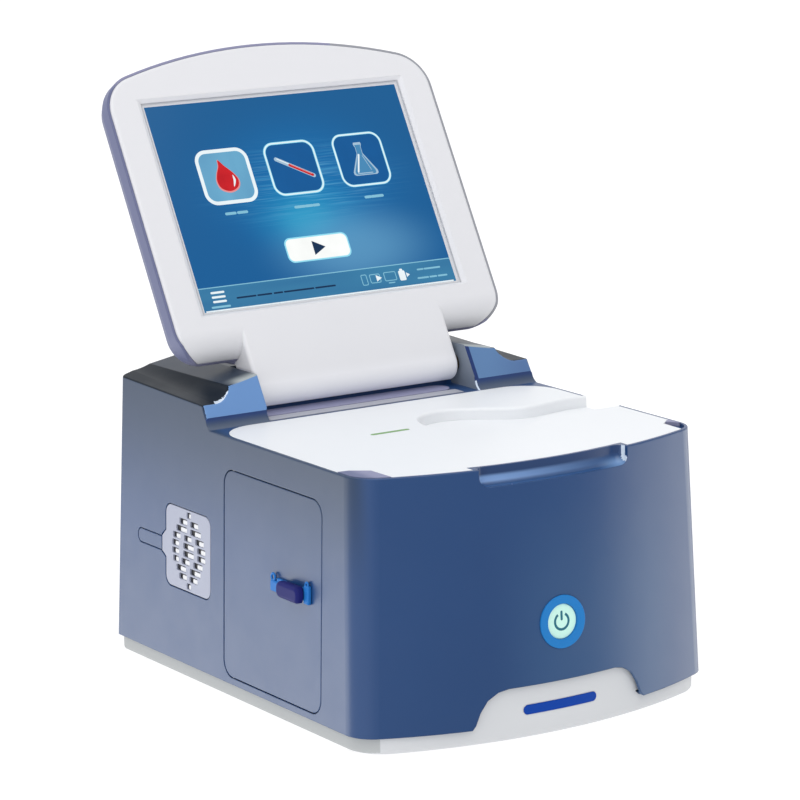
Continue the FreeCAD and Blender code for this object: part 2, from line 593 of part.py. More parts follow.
# seat for the ring in the curved front
parts["outer_shell"] = parts["outer_shell"].cut(front(cyl(18.05, 3.0, V(0, 0, -0.6)))).Solids[0]
btn = fuse([cyl(11.75, 4.6, V(0, 0, -5.6)), cyl(3.0, 7.0, V(0, 0, -12.0))])
btn = fillet_some(btn, 0.6, lambda e: e.BoundBox.ZMin > -1.05)
put("power_button", front(btn))
sym = cyl(5.6, 0.15, V(0, 0, -1.0)).cut(cyl(4.3, 2, V(0, 0, -2))).cut(box(-2.2, 2.2, 0, 8, -2, 2))
bar = box(-0.65, 0.65, 0.6, 6.4, -1.0, -0.85)
put("power_symbol", [front(sym), front(bar)])
sw = fuse([box(-9, 9, -9, 9, -24.0, -14.6), cyl(2.4, 1.0, V(0, 0, -14.8))])
put("button_switch", front(sw))

# ------------------------------------------------------------------ side door and latch
plate = rrect(door_w0, door_w1, DOOR_U0, DOOR_U1, -DOOR_T, 0.0, DOOR_R)
door = fillet_some(plate, 0.5, lambda e: e.BoundBox.ZMin > -0.01)
# hollow the back of the door between its edge and the latch boss
pan = rrect(door_w0 + 5, door_w1 - 5, DOOR_U0 + 5, DOOR_AX_U - 4, -DOOR_T - 1, -2.2, DOOR_R - 5)
boss_w, boss_u = wz(LATCH_Z), LATCH_U
door = door.cut(pan.cut(cyl(9.0, 20, V(boss_w, boss_u, -10))))
door = door.cut(cyl(3.05, 20, V(boss_w, boss_u, -10)))
door = door.cut(cyl(pin_r + 0.06, 22.0, V(door_w0 - 8, DOOR_AX_U, DOOR_AX_T), V(1, 0, 0)))
door = door.cut(cyl(pin_r + 0.06, 22.0, V(door_w1 - 14, DOOR_AX_U, DOOR_AX_T), V(1, 0, 0)))
put("side_door", side(door))
pins = [side(cyl(pin_r, 17.0, V(door_w0 - 4.5, DOOR_AX_U, DOOR_AX_T), V(1, 0, 0))),
        side(cyl(pin_r, 20.0, V(door_w1 - 12.5, DOOR_AX_U, DOOR_AX_T), V(1, 0, 0)))]
put("door_hinge_pins", pins)

# latch: a flat lever with two end blocks and small loops, a rounded grip over it, a shaft and a cam inside
LU0, LU1 = -20.6, 27.5           # lever ends relative to the shaft, along the wall
lever_mid = box(boss_w - 4.0, boss_w + 4.0, boss_u - 18.0, boss_u + 20.0, 0.35, 2.2)
end_f = fillet_some(box(boss_w - 6.1, boss_w + 6.6, boss_u + LU0, boss_u - 14.5, 0.35, 2.8), 1.0,
                    lambda e: e.BoundBox.ZMin > 2.7 or e.BoundBox.ZLength > 2.4)
end_r = fillet_some(box(boss_w - 5.7, boss_w + 1.9, boss_u + 9.0, boss_u + LU1, 0.35, 3.2), 1.2,
                    lambda e: e.BoundBox.ZMin > 3.1 or e.BoundBox.ZLength > 2.8)
loop_r = Part.makeTorus(2.3, 0.8, V(boss_w + 4.0, boss_u + LU1 - 2.6, 1.9), V(0, 0, 1))
loop_f = Part.makeTorus(1.6, 0.7, V(boss_w + 7.2, boss_u + LU0 + 3.2, 1.7), V(0, 0, 1))
lever = fuse([lever_mid, end_f, end_r, loop_r, loop_f]).cut(cyl(3.0, 20, V(boss_w, boss_u, -5)))
put("latch_lever", side(lever))
grip = rrect(boss_w - 6.2, boss_w + 5.2, boss_u - 16.2, boss_u + 12.4, 3.7, 8.6, 4.6)
grip = fillet_some(grip, 2.8, lambda e: e.BoundBox.ZMin > 8.5)
grip = fuse([grip, rrect(boss_w - 5.0, boss_w + 5.0, boss_u - 14.2, boss_u + 8.7, 2.3, 5.0, 3.0)])
grip = grip.cut(cyl(3.0, 6.0, V(boss_w, boss_u, 0)))
put("latch_grip", side(grip))
put("latch_shaft", side(cyl(2.97, 17.9, V(boss_w, boss_u, -12.0))))
cam = fuse([cyl(7.0, 2.6, V(boss_w, boss_u, -9.4)), box(boss_w - 33.6, boss_w, boss_u - 6.0, boss_u + 6.0, -9.4, -6.8)])
cam = cam.cut(cyl(3.0, 20, V(boss_w, boss_u, -20)))
put("latch_cam", side(cam))

# reagent bay behind the door, held by a flange against the inside of the wall
BAY_D = -58.0
bo = dict(w0=door_w0 - 0.9, w1=door_w1 + 1.6, u0=DOOR_U0 - 1.6, u1=DOOR_U1 + 1.8)
bay_in = rrect(bo["w0"], bo["w1"], bo["u0"], bo["u1"], BAY_D + 2.0, 5.0, 11.0)
bay_out = rrect(bo["w0"] - 1.3, bo["w1"] + 1.8, bo["u0"] - 1.8, bo["u1"] + 1.8, BAY_D, -WALL - 0.05, 12.0)
bay_fl = rrect(bo["w0"] - 1.3, bo["w1"] + 7.0, bo["u0"] - 7.0, bo["u1"] + 7.0, -WALL - 2.3, -WALL - 0.05, 6.0)
keeper = box(boss_w - 10, boss_w + 10, bo["u0"] - 1.0, bo["u0"] + 4.2, -6.4, -4.7)
bay = fuse([bay_out, bay_fl]).cut(bay_in)
bay = fuse([bay, keeper])
bay = bay.cut(cyl(pin_r + 0.02, door_w1 - door_w0 + 16, V(door_w0 - 8, DOOR_AX_U, DOOR_AX_T), V(1, 0, 0)))
put("reagent_bay", side(bay))
pk = dict(w0=bo["w0"] + 2.2, w1=bo["w1"] - 2.2, u0=bo["u0"] + 2.2, u1=bo["u1"] - 6.0)
pack = rrect(pk["w0"], pk["w1"], pk["u0"], pk["u1"], BAY_D + 2.3, -28.0, 8.0)
pack = fillet_some(pack, 2.0, lambda e: e.BoundBox.ZMin > -28.1)
put("reagent_pack", side(pack))

# ------------------------------------------------------------------ vent, filter, fan
FAN_W, FAN_U = wz(93.8), 62.2
cover = fillet_some(vent_plan(0.0, -2.3, 0.0), 0.4, lambda e: e.BoundBox.ZMin > -0.01)
rows = [(-25.3, [(-2.4, 2.4)]), (-19.7, [(-12.8, -3.2), (1.6, 11.6)]), (-14.1, [(-16.6, -4.6), (2.2, 15.8)]),
        (-8.5, [(-21.4, -14.6), (-9.6, 0.6), (6.8, 18.6)]), (-2.8, [(-22.6, -14.2), (-7.2, 6.4), (12.2, 22.4)]),
        (2.8, [(-22.6, -14.2), (-7.2, 6.4), (12.2, 22.4)]), (8.5, [(-21.4, -12.2), (-6.0, 3.2), (9.6, 20.2)]),
        (14.1, [(-16.8, -3.2), (2.6, 16.2)]), (19.7, [(-12.4, -2.6), (2.6, 12.6)]), (25.3, [(-2.4, 2.4)])]
slots = []
for dw, spans in rows:
    for a, b in spans:
        slots.append(rrect(FAN_W + dw - 2.2, FAN_W + dw + 2.2, FAN_U - b - 0.6, FAN_U - a + 0.6, -5, 3, 1.2))
cover = cover.cut(Part.makeCompound(slots)).cut(rrect(FAN_W - 28.0, FAN_W + 28.0, FAN_U - 26.7, FAN_U + 26.7, -3.0, -1.4, 4.2))
put("vent_cover", side(cover))
put("air_filter", side(rrect(FAN_W - 27.8, FAN_W + 27.8, FAN_U - 26.5, FAN_U + 26.5, -7.5, -1.45, 4)))
# duct that carries the cover and the fan
dw0, dw1, du0, du1 = wz(VENT_Z0), wz(VENT_Z1), VENT_U0, VENT_U1
duct = fuse([rrect(dw0 - 4, dw1 + 4, du0 - 4, du1 + 9.5, -4.6, -2.45, 5), rrect(FAN_W - 30.6, FAN_W + 30.6, FAN_U - 30.6, FAN_U + 30.6, -14.0, -4.0, 5)])
duct = duct.cut(rrect(FAN_W - 28.2, FAN_W + 28.2, FAN_U - 27.0, FAN_U + 27.0, -8.5, 0, 4.2)).cut(cyl(20.4, 40, V(FAN_W, FAN_U, -30)))
put("fan_duct", side(duct))
FAN_H = 22.5
fan = rrect(FAN_W - FAN_H, FAN_W + FAN_H, FAN_U - FAN_H, FAN_U + FAN_H, -27.0, -14.05, 3).cut(cyl(20.4, 40, V(FAN_W, FAN_U, -40)))
hub_plate = cyl(9.0, 2.0, V(FAN_W, FAN_U, -27.0))
struts = [box(FAN_W - 21.2, FAN_W + 21.2, FAN_U - 1.2, FAN_U + 1.2, -27.0, -25.2), box(FAN_W - 1.2, FAN_W + 1.2, FAN_U - 21.2, FAN_U + 21.2, -27.0, -25.2)]
fan = fuse([fan, hub_plate] + struts).cut(cyl(1.06, 10, V(FAN_W, FAN_U, -30)))
put("fan_frame", side(fan))
rot = [cyl(9.2, 8.2, V(FAN_W, FAN_U, -24.4)), cyl(1.0, 3.4, V(FAN_W, FAN_U, -26.8))]
for i in range(7):
    b = box(-1.0, 1.0, 8.6, 19.4, -3.6, 3.6)
    b.rotate(V(0, 0, 0), V(0, 1, 0), 38)
    b = b.common(cyl(19.4, 20, V(0, 0, -10)))
    b.rotate(V(0, 0, 0), V(0, 0, 1), i * 360.0 / 7)
    b.translate(V(FAN_W, FAN_U, -20.3))
    rot.append(b)
put("fan_rotor", side(fuse(rot)))

# ------------------------------------------------------------------ display head
def head_outline(off, z0, bottom):
    """front view of the head in display axes: domed top, rounded corners"""
    hw = BZ_HW + off
    top, rt = 117.8 + off, 28.0 + off
    R = 409.0
    cyt = top - R
    fx = hw - rt
    fy = cyt + math.sqrt((R - rt) ** 2 - fx * fx)
    k = R / math.hypot(fx, fy - cyt)
    tx, ty = fx * k, cyt + (fy - cyt) * k
    ang = math.atan2(ty - fy, tx - fx) / 2.0
    mx, my = fx + rt * math.cos(ang), fy + rt * math.sin(ang)
    rb = 22.0 + off
    s = math.sqrt(0.5)
    P = lambda x, y: V(x, y, z0)
    e = [
        Part.Arc(P(-tx, ty), P(0, top), P(tx, ty)),
        Part.Arc(P(tx, ty), P(mx, my), P(hw, fy)),
        Part.LineSegment(P(hw, fy), P(hw, bottom + rb)),
        Part.Arc(P(hw, bottom + rb), P(hw - rb + rb * s, bottom + rb - rb * s), P(hw - rb, bottom)),
        Part.LineSegment(P(hw - rb, bottom), P(-(hw - rb), bottom)),
        Part.Arc(P(-(hw - rb), bottom), P(-(hw - rb + rb * s), bottom + rb - rb * s), P(-hw, bottom + rb)),
        Part.LineSegment(P(-hw, bottom + rb), P(-hw, fy)),
        Part.Arc(P(-hw, fy), P(-mx, my), P(-tx, ty)),
    ]
    return Part.Wire([c.toShape() for c in e])


def chin_profile(front_n, back_n, v0, r, hw, cn=-16.0):
    """section through the head: flat front and back, rolled bottom; extruded across"""
    P = lambda v, n: V(-hw, v, n)
    a = math.acos(max(-1.0, min(1.0, (back_n - cn) / r)))
    bv = v0 - r * math.sin(a)
    if front_n - cn < r - 1e-6:
        r_front = math.sqrt(r * r - (front_n - cn) ** 2)
    else:
        r_front = 0.0
    e = [
        Part.LineSegment(P(140, front_n), P(v0 - r_front, front_n)),
        Part.Arc(P(v0 - r_front, front_n), P(v0 - r * math.sin(math.radians(55)), cn + r * math.cos(math.radians(55))), P(bv, back_n)),
        Part.LineSegment(P(bv, back_n), P(140, back_n)),
        Part.LineSegment(P(140, back_n), P(140, front_n)),
    ]
    return extrude(Part.Wire([c.toShape() for c in e]), V(2 * hw, 0, 0))


def neck_profile(front_n, back_n, r, v_top, hw):
    """section through the neck: flat front and back around the hinge barrel"""
    cn, cv = HINGE_N, BARREL_V
    P = lambda v, n: V(-hw, v, n)
    e = [
        Part.LineSegment(P(v_top, front_n), P(cv, front_n)),
        Part.Arc(P(cv, front_n), P(cv - r, cn), P(cv, back_n)),
        Part.LineSegment(P(cv, back_n), P(v_top, back_n)),
        Part.LineSegment(P(v_top, back_n), P(v_top, front_n)),
    ]
    return extrude(Part.Wire([c.toShape() for c in e]), V(2 * hw, 0, 0))


T = 2.4
CHIN_V, CHIN_R = -93.0, 19.0
SPLIT_N = -12.0                 # the bezel's chin ends here, the rear shell takes over
# bezel: front frame, chin and the front and sides of the neck
bz = extrude(head_outline(0.0, SPLIT_N, -112.0), V(0, 0, BZ_N - SPLIT_N))
bz = fillet_some(bz, 2.2, lambda e: e.BoundBox.ZMin > BZ_N - 0.01 and e.BoundBox.YMax > -111.9)
bz = bz.common(chin_profile(BZ_N, SPLIT_N, CHIN_V, CHIN_R, 140))
bz_in = extrude(head_outline(-T, SPLIT_N - 1, -112.0 + T), V(0, 0, BZ_N - SPLIT_N + 1 - T)).common(
    chin_profile(BZ_N - T, SPLIT_N - 1, CHIN_V, CHIN_R - T, 140))
bz = bz.cut(bz_in)
# only the chin reaches back; the sides and top stop at the rear shell's rim
bz = bz.cut(extrude(head_outline(3.0, -20.0, -115.0), V(0, 0, 18.0)).common(box(-150, 150, -84.0, 150, -20, -2.0)))
neck_o = neck_profile(BZ_N, BZ_N - 2 * BARREL_R, BARREL_R, CHIN_V + 2, NECK_HW)
neck_i = neck_profile(BZ_N - T, BZ_N - 2 * BARREL_R + T, BARREL_R - T, CHIN_V + 3, NECK_HW - T)
neck = fillet_some(neck_o, 3.0, lambda e: abs(abs(e.BoundBox.Center.x) - NECK_HW) < 0.01 and e.BoundBox.Center.z > HINGE_N
                   and e.BoundBox.YMin < CHIN_V + 1.9)
neck = neck.cut(neck_i)
neck_back_win = box(-NECK_HW + T + 1, NECK_HW - T - 1, BARREL_V + 6, CHIN_V + 10, -22, -14)   # closed by the rear shell
neck = neck.cut(neck_back_win)
bz = fuse([bz.cut(box(-NECK_HW + T, NECK_HW - T, -118, CHIN_V - 1, SPLIT_N - 2, BZ_N - T)), neck])
bz = bz.cut(box(-NECK_HW + T, NECK_HW - T, -125, CHIN_V + 6, -17.6, BZ_N - T))
# viewing window with a sloping ledge
win_lo = rrect(-ACT_W / 2, ACT_W / 2, -ACT_H / 2, ACT_H / 2, -0.2, 0.01, 1.0)
wa = poly([V(-ACT_W / 2 - 0.4, -ACT_H / 2 - 0.4, -0.5), V(ACT_W / 2 + 0.4, -ACT_H / 2 - 0.4, -0.5),
           V(ACT_W / 2 + 0.4, ACT_H / 2 + 0.4, -0.5), V(-ACT_W / 2 - 0.4, ACT_H / 2 + 0.4, -0.5)])
wb = poly([V(-112.0, -83.0, BZ_N + 0.2), V(112.0, -83.0, BZ_N + 0.2), V(112.0, 84.5, BZ_N + 0.2), V(-112.0, 84.5, BZ_N + 0.2)])
bz = bz.cut(Part.makeLoft([wa, wb], True, True))
bz = bz.cut(box(-ACT_W / 2 - 0.4, ACT_W / 2 + 0.4, -ACT_H / 2 - 0.4, ACT_H / 2 + 0.4, -5, 1))
HX = cyl(4.06, 300, V(-150, BARREL_V, HINGE_N), V(1, 0, 0))
bz = bz.cut(HX)
put("screen_bezel", disp(bz))

# rear shell of the head: rim that frames the bezel, tapering back, and the back of the neck
RIM = 2.0
s1 = head_outline(RIM, 1.2, -114.0)
s2 = head_outline(RIM, -8.0, -114.0)
s3 = head_outline(RIM - 3.0, -16.0, -112.0)
s4 = head_outline(RIM - 9.0, HEAD_BACK, -108.0)
bk = fuse([Part.makeLoft([s2, s1], True, True), Part.makeLoft([s3, s2], True, True), Part.makeLoft([s4, s3], True, True)])
i2 = head_outline(0.12, 2.0, -110.0)
i2b = head_outline(0.12, -8.0, -110.0)
i3 = head_outline(RIM - 3.0 - T, -15.4, -109.0)
i4 = head_outline(RIM - 9.0 - T + 0.6, HEAD_BACK + T, -106.0)
bk_in = fuse([Part.makeLoft([i2b, i2], True, True), Part.makeLoft([i3, i2b], True, True), Part.makeLoft([i4, i3], True, True)])
bk = bk.cut(bk_in)
# follow the rolled bottom, and stay clear of the bezel's chin
bk = bk.common(chin_profile(3.0, HEAD_BACK, CHIN_V, CHIN_R, 145).fuse(box(-145, 145, -90, 140, HEAD_BACK, 3.0)))
bk = bk.cut(box(-145, 145, -118, CHIN_V + 9.2, SPLIT_N - 0.12, 5.0).common(extrude(head_outline(0.1, SPLIT_N - 0.12, -112.1), V(0, 0, 20))))
lip = chin_profile(-12.2, HEAD_BACK, CHIN_V, CHIN_R - 0.05, BZ_HW - 24.0).cut(chin_profile(-11.0, HEAD_BACK + T, CHIN_V, CHIN_R - T, BZ_HW - 20)).common(
    box(-145, 145, -118, CHIN_V, HEAD_BACK, -12.15))
flare = extrude(poly([V(-100, -100, NECK_BACK), V(100, -100, NECK_BACK), V(90.5, -110.8, NECK_BACK), V(NECK_HW - 0.1, -113.0, NECK_BACK),
                      V(-NECK_HW + 0.1, -113.0, NECK_BACK), V(-90.5, -110.8, NECK_BACK)]), V(0, 0, T))
neck_back = box(-NECK_HW + T + 1.1, NECK_HW - T - 1.1, BARREL_V + 6.1, CHIN_V - 4, NECK_BACK, NECK_BACK + T)
bk = fuse([bk, lip, flare, neck_back])
bk = bk.cut(neck_o.cut(neck_back_win))
bk = bk.cut(box(-81.5, 81.5, -118, -86, NECK_BACK + T, 0))
put("screen_back", disp(bk))

lcd = rrect(-113.0, 113.0, -86.0, 86.0, -8.6, -2.75, 2)
put("lcd_panel", disp(lcd))
put("touch_glass", disp(rrect(-110.0, 110.0, -84.0, 84.0, -2.7, -0.6, 2)))
put("display_frame", disp(rrect(-118, 118, -89.5, 90.5, -10.2, -8.7, 4)))
put("display_board", disp(rrect(-55, 55, -42, 38, -15.6, -14.0, 3)))
arm = fuse([box(-78, 78, -128, -91.5, -14.2, -11.2), box(-78, 78, -93, -72, -13.6, -11.2),
            box(-78, 78, BARREL_V, -126, -12.5, -4.5), cyl(8.6, 156, V(-78, BARREL_V, HINGE_N), V(1, 0, 0))])
arm = arm.cut(cyl(4.0, 300, V(-150, BARREL_V, HINGE_N), V(1, 0, 0)))
put("hinge_arm", disp(arm))
put("hinge_shaft", disp(cyl(3.98, 202.0, V(-101.0, BARREL_V, HINGE_N), V(1, 0, 0))))
put("display_cable", disp(fuse([box(20, 44, -124, -60, -17.0, -16.2), box(20, 44, -60.8, -44, -17.0, -16.2)])))
scr = []
for x, v in [(-118, 84), (118, 84), (-112, -80), (112, -80)]:
    scr.append(disp(fuse([cyl(3.0, 1.4, V(x, v, HEAD_BACK - 0.9)), cyl(1.4, 6.0, V(x, v, HEAD_BACK + 0.2))])))
bkc = parts["screen_back"]
for x, v in [(-118, 84), (118, 84), (-112, -80), (112, -80)]:
    bkc = bkc.cut(disp(cyl(1.45, 10, V(x, v, HEAD_BACK - 3)))).cut(disp(cyl(3.1, 3.0, V(x, v, HEAD_BACK - 3 + 0.5))))
for i in range(16):                     # cooling slots in the back
    xs = -52.5 + i * 7.0
    bkc = bkc.cut(disp(box(xs - 1.4, xs + 1.4, 52, 76, HEAD_BACK - 2, HEAD_BACK + 5)))
put("screen_back", bkc)
put("screen_screws", scr)
disc = []
for sgn in (-1, 1):
    x0 = sgn * 93.6
    d = V(sgn, 0, 0)
    disc.append(disp(tube(7.5, 4.0, 1.6, V(x0, BARREL_V, HINGE_N), d)))
    hexa = Part.makePolygon([V(sgn * 95.4, BARREL_V + 6.5 * math.cos(math.radians(60 * k)), HINGE_N + 6.5 * math.sin(math.radians(60 * k))) for k in range(7)])
    disc.append(disp(extrude(hexa, V(sgn * 4.0, 0, 0)).cut(cyl(4.0, 300, V(-150, BARREL_V, HINGE_N), V(1, 0, 0)))))
put("hinge_friction_nuts", disc)
bush = []
for sgn in (-1, 1):
    bush.append(tube(BUSH_R, 4.06, 6.6, V(sgn * 86.7, HINGE.y, HINGE.z), V(sgn, 0, 0)))
put("hinge_bushes", bush)
brk = []
for sgn in (-1, 1):
    a, b = sorted((sgn * 90.05, sgn * 93.0))
    c, d = sorted((sgn * 66.0, sgn * 93.0))
    s = fuse([box(a, b, 55.5, 75.5, 176.0, 208.0), box(c, d, 55.5, 75.5, 176.0, 178.4)])
    s = s.cut(cyl(BUSH_R + 0.02, 300, V(-150, HINGE.y, HINGE.z), V(1, 0, 0)))
    brk.append(s)
put("hinge_brackets", brk)

# ------------------------------------------------------------------ inside the housing
CH_Z = 15.0
ch = rrect(-116, 116, -148, 148, CH_Z, CH_Z + 2.0, 6)
# room for the reagent bay at the left
ch = ch.cut(box(-160, -80, -122, 26, 0, 40))
for x, y in std_xy:
    ch = ch.cut(cyl(1.8, 10, V(x, y, CH_Z - 3)))
put("chassis_plate", ch)
put("chassis_standoffs", [tube(4.0, 1.8, CH_Z - TRAY_T, V(x, y, TRAY_T)) for x, y in std_xy] +
    [cyl(3.0, 8.0, V(x, y, 17.0)) for x, y in [(-12, -118), (52, -118), (-12, -12), (52, -12)]])
put("chassis_screws", [fuse([cyl(3.4, 2.2, V(x, y, CH_Z + 2.0)), cyl(1.75, 9.0, V(x, y, CH_Z - 7.0))]) for x, y in std_xy])
put("main_board", rrect(-16, 56, -126, -4, 25.0, 26.6, 2))
comp = []
for x0, x1, y0, y1, h in [(-6, 20, -60, -34, 3.0), (28, 46, -64, -46, 2.2), (-10, 8, -100, -82, 2.4), (16, 50, -112, -96, 8.0),
                          (30, 50, -34, -14, 10.0), (-12, -4, -24, -10, 6.0), (14, 24, -84, -74, 5.0)]:
    comp.append(box(x0, x1, y0, y1, 26.6, 26.6 + h))
put("board_components", comp)
psu = rrect(-56, 24, 86, 136, 17.0, 62.0, 3)
put("power_supply", psu)
put("battery_pack", rrect(72, 112, -128, -36, 17.0, 47.0, 4))
put("sensor_bracket", fuse([box(-24, 64, -76, -19, 104.0, 106.0), box(-24, -22, -76, -19, 17.0, 106.0), box(62, 64, -76, -19, 17.0, 106.0)]))
put("sensor_module", fillet_some(box(-12, 56, -74, -24, 106.0, 150.0), 2.0, lambda e: e.BoundBox.ZMin > 149.9))
put("sample_probe", tube(1.0, 0.5, CH_FLOOR + 0.2 - 150.0, V(PORT[0], PORT[1], 150.0)))
PM = (70.0, 92.0)
put("pump_motor", fuse([cyl(14.0, 30.0, V(PM[0], PM[1], 17.0)), cyl(2.0, 16.0, V(PM[0], PM[1], 47.0))]))
ph = fuse([box(PM[0] - 21, PM[0] + 21, PM[1] - 21, PM[1] + 21, 47.1, 66.0)])
ph = ph.cut(cyl(17.0, 30, V(PM[0], PM[1], 50.0))).cut(cyl(2.3, 10, V(PM[0], PM[1], 44)))
put("pump_housing", ph)
pr = [cyl(13.0, 3.0, V(PM[0], PM[1], 51.0)), cyl(5.0, 13.0, V(PM[0], PM[1], 51.0))]
for k in range(3):
    a = math.radians(120 * k + 30)
    pr.append(cyl(4.0, 11.5, V(PM[0] + 11.0 * math.cos(a), PM[1] + 11.0 * math.sin(a), 52.5)))
prs = fuse(pr).cut(cyl(2.06, 30, V(PM[0], PM[1], 48)))
put("pump_rotor", prs)

# rear connector panel
io = rrect(-63, 63, -26, 26, -WALL - 2.0, -WALL - 0.05, 3)
io = io.cut(rrect(-48.2, -19.8, -11.2, 11.2, -10, 5, 2)).cut(rrect(-6.2, 10.2, -8.2, 8.2, -10, 5, 0.6)).cut(rrect(20, 46, -6, 6, -10, 5, 3))
put("io_panel", rear(io))
inl = rrect(-48, -20, -11, 11, -22.0, -1.2, 1.8)
inl = inl.cut(rrect(-46, -22, -8.5, 8.5, -19.0, 1.0, 3.0))
put("mains_inlet", rear(inl))
put("inlet_pins", [rear(box(-34 + dx - 2.0, -34 + dx + 2.0, dy - 1.0, dy + 1.0, -18.95, -7.0)) for dx, dy in ((-7, -2.2), (7, -2.2), (0, 2.6))])
net = rrect(-6, 10, -8, 8, -22.0, -1.6, 0.5).cut(box(-4.2, 8.2, -4.6, 4.6, -16.0, 2.0))
put("network_port", rear(net))
put("port_cover", rear(fillet_some(rrect(20.1, 45.9, -5.9, 5.9, -6.0, -0.8, 2.9), 0.6, lambda e: e.BoundBox.ZMin > -0.9)))

# ------------------------------------------------------------------ write
total = FreeCAD.BoundBox()
for name in sorted(parts):
    s = parts[name].copy()
    s.translate(SHIFT)
    if not s.isValid():
        print("INVALID", name)
    s.exportStep("parts/%s.step" % name)
    total.add(s.BoundBox)
    b = s.BoundBox
    print("%-22s solids %d vol %.0f  x %.1f..%.1f y %.1f..%.1f z %.1f..%.1f" % (
        name, len(s.Solids), s.Volume, b.XMin, b.XMax, b.YMin, b.YMax, b.ZMin, b.ZMax))
print("nodes", len(parts))
print("total x %.2f..%.2f y %.2f..%.2f z %.2f..%.2f" % (total.XMin, total.XMax, total.YMin, total.YMax, total.ZMin, total.ZMax))
h = HINGE + SHIFT
print("hinge axis at y %.3f z %.3f" % (h.y, h.z))
q = S_ORG + V(SW) * door_w0 + V(0, DOOR_AX_U, 0) + V(ST) * DOOR_AX_T + SHIFT
print("door axis point %.3f %.3f %.3f dir %.5f %.5f %.5f" % (q.x, q.y, q.z, SW.x, SW.y, SW.z))
q = S_ORG + V(SW) * boss_w + V(0, boss_u, 0) + SHIFT
print("latch axis point %.3f %.3f %.3f dir %.5f %.5f %.5f" % (q.x, q.y, q.z, ST.x, ST.y, ST.z))
q = S_ORG + V(SW) * FAN_W + V(0, FAN_U, 0) + V(ST) * -20 + SHIFT
print("fan axis point %.3f %.3f %.3f" % (q.x, q.y, q.z))
q = V(0, PB_Y, PB_Z) + SHIFT
print("button at %.3f %.3f %.3f normal %.5f %.5f %.5f" % (q.x, q.y, q.z, PB_NRM.x, PB_NRM.y, PB_NRM.z))
print("pump axis %.3f %.3f" % (PM[0] + SHIFT.x, PM[1] + SHIFT.y))
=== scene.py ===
import bpy, bmesh, json, math
from mathutils import Vector, Matrix


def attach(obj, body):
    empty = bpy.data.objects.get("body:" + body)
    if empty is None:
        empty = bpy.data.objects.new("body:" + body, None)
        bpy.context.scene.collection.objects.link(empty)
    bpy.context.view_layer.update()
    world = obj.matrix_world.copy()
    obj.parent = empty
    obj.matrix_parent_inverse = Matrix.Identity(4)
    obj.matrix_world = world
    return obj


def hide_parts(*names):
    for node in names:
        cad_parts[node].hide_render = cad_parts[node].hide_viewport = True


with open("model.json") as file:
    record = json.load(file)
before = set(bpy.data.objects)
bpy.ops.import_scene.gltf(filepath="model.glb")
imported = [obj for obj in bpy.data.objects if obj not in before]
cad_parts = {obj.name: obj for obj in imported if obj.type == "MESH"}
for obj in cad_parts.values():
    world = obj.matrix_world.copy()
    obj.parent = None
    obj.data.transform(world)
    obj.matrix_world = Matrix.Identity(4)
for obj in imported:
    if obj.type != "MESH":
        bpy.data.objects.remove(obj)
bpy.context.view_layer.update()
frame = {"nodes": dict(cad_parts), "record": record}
nodes = frame["nodes"]
scene = bpy.context.scene

# ---------------------------------------------------------------- light levels
SKY, FRONT_SKY, TOP_SKY, FLOOR_GLOW = 1.0, 0.35, 0.95, 0.80
LT_TOP, LT_FRONT, LT_REAR, LT_RIGHT = 11.0, 15.0, 7.4, 10.5

# ---------------------------------------------------------------- frame sizes
# Working coordinates are the CAD source's, in mm; SHIFT takes them to the frame.
SHIFT = Vector((3.01, -6.07, 2.0))
LEAN = math.radians(30.17)
DISP_C = Vector((0, 128.27, 323.2))
DX = Vector((1, 0, 0))
DV = Vector((0, math.sin(LEAN), math.cos(LEAN)))
DN = Vector((0, -math.cos(LEAN), math.sin(LEAN)))
Z_LO, Z_HI, W_LO, W_HI = 12.04, 184.5, 142.25, 136.77
AL = math.atan((W_LO - W_HI) / (Z_HI - Z_LO))
SW = Vector((math.sin(AL), 0, math.cos(AL)))
ST = Vector((-math.cos(AL), 0, math.sin(AL)))


def W(x, y, z):
    """working millimetres to metres in the frame"""
    return (Vector((x, y, z)) + SHIFT) / 1000.0


def DP(x, v, n):
    """display coordinates: across, up the glass, out of it"""
    return (DISP_C + DX * x + DV * v + DN * n + SHIFT) / 1000.0


def SP(z, u, t):
    """left wall: height, towards the rear, outwards"""
    w = (z - Z_LO) / math.cos(AL)
    return (Vector((-W_LO, u, Z_LO)) + SW * w + ST * t + SHIFT) / 1000.0


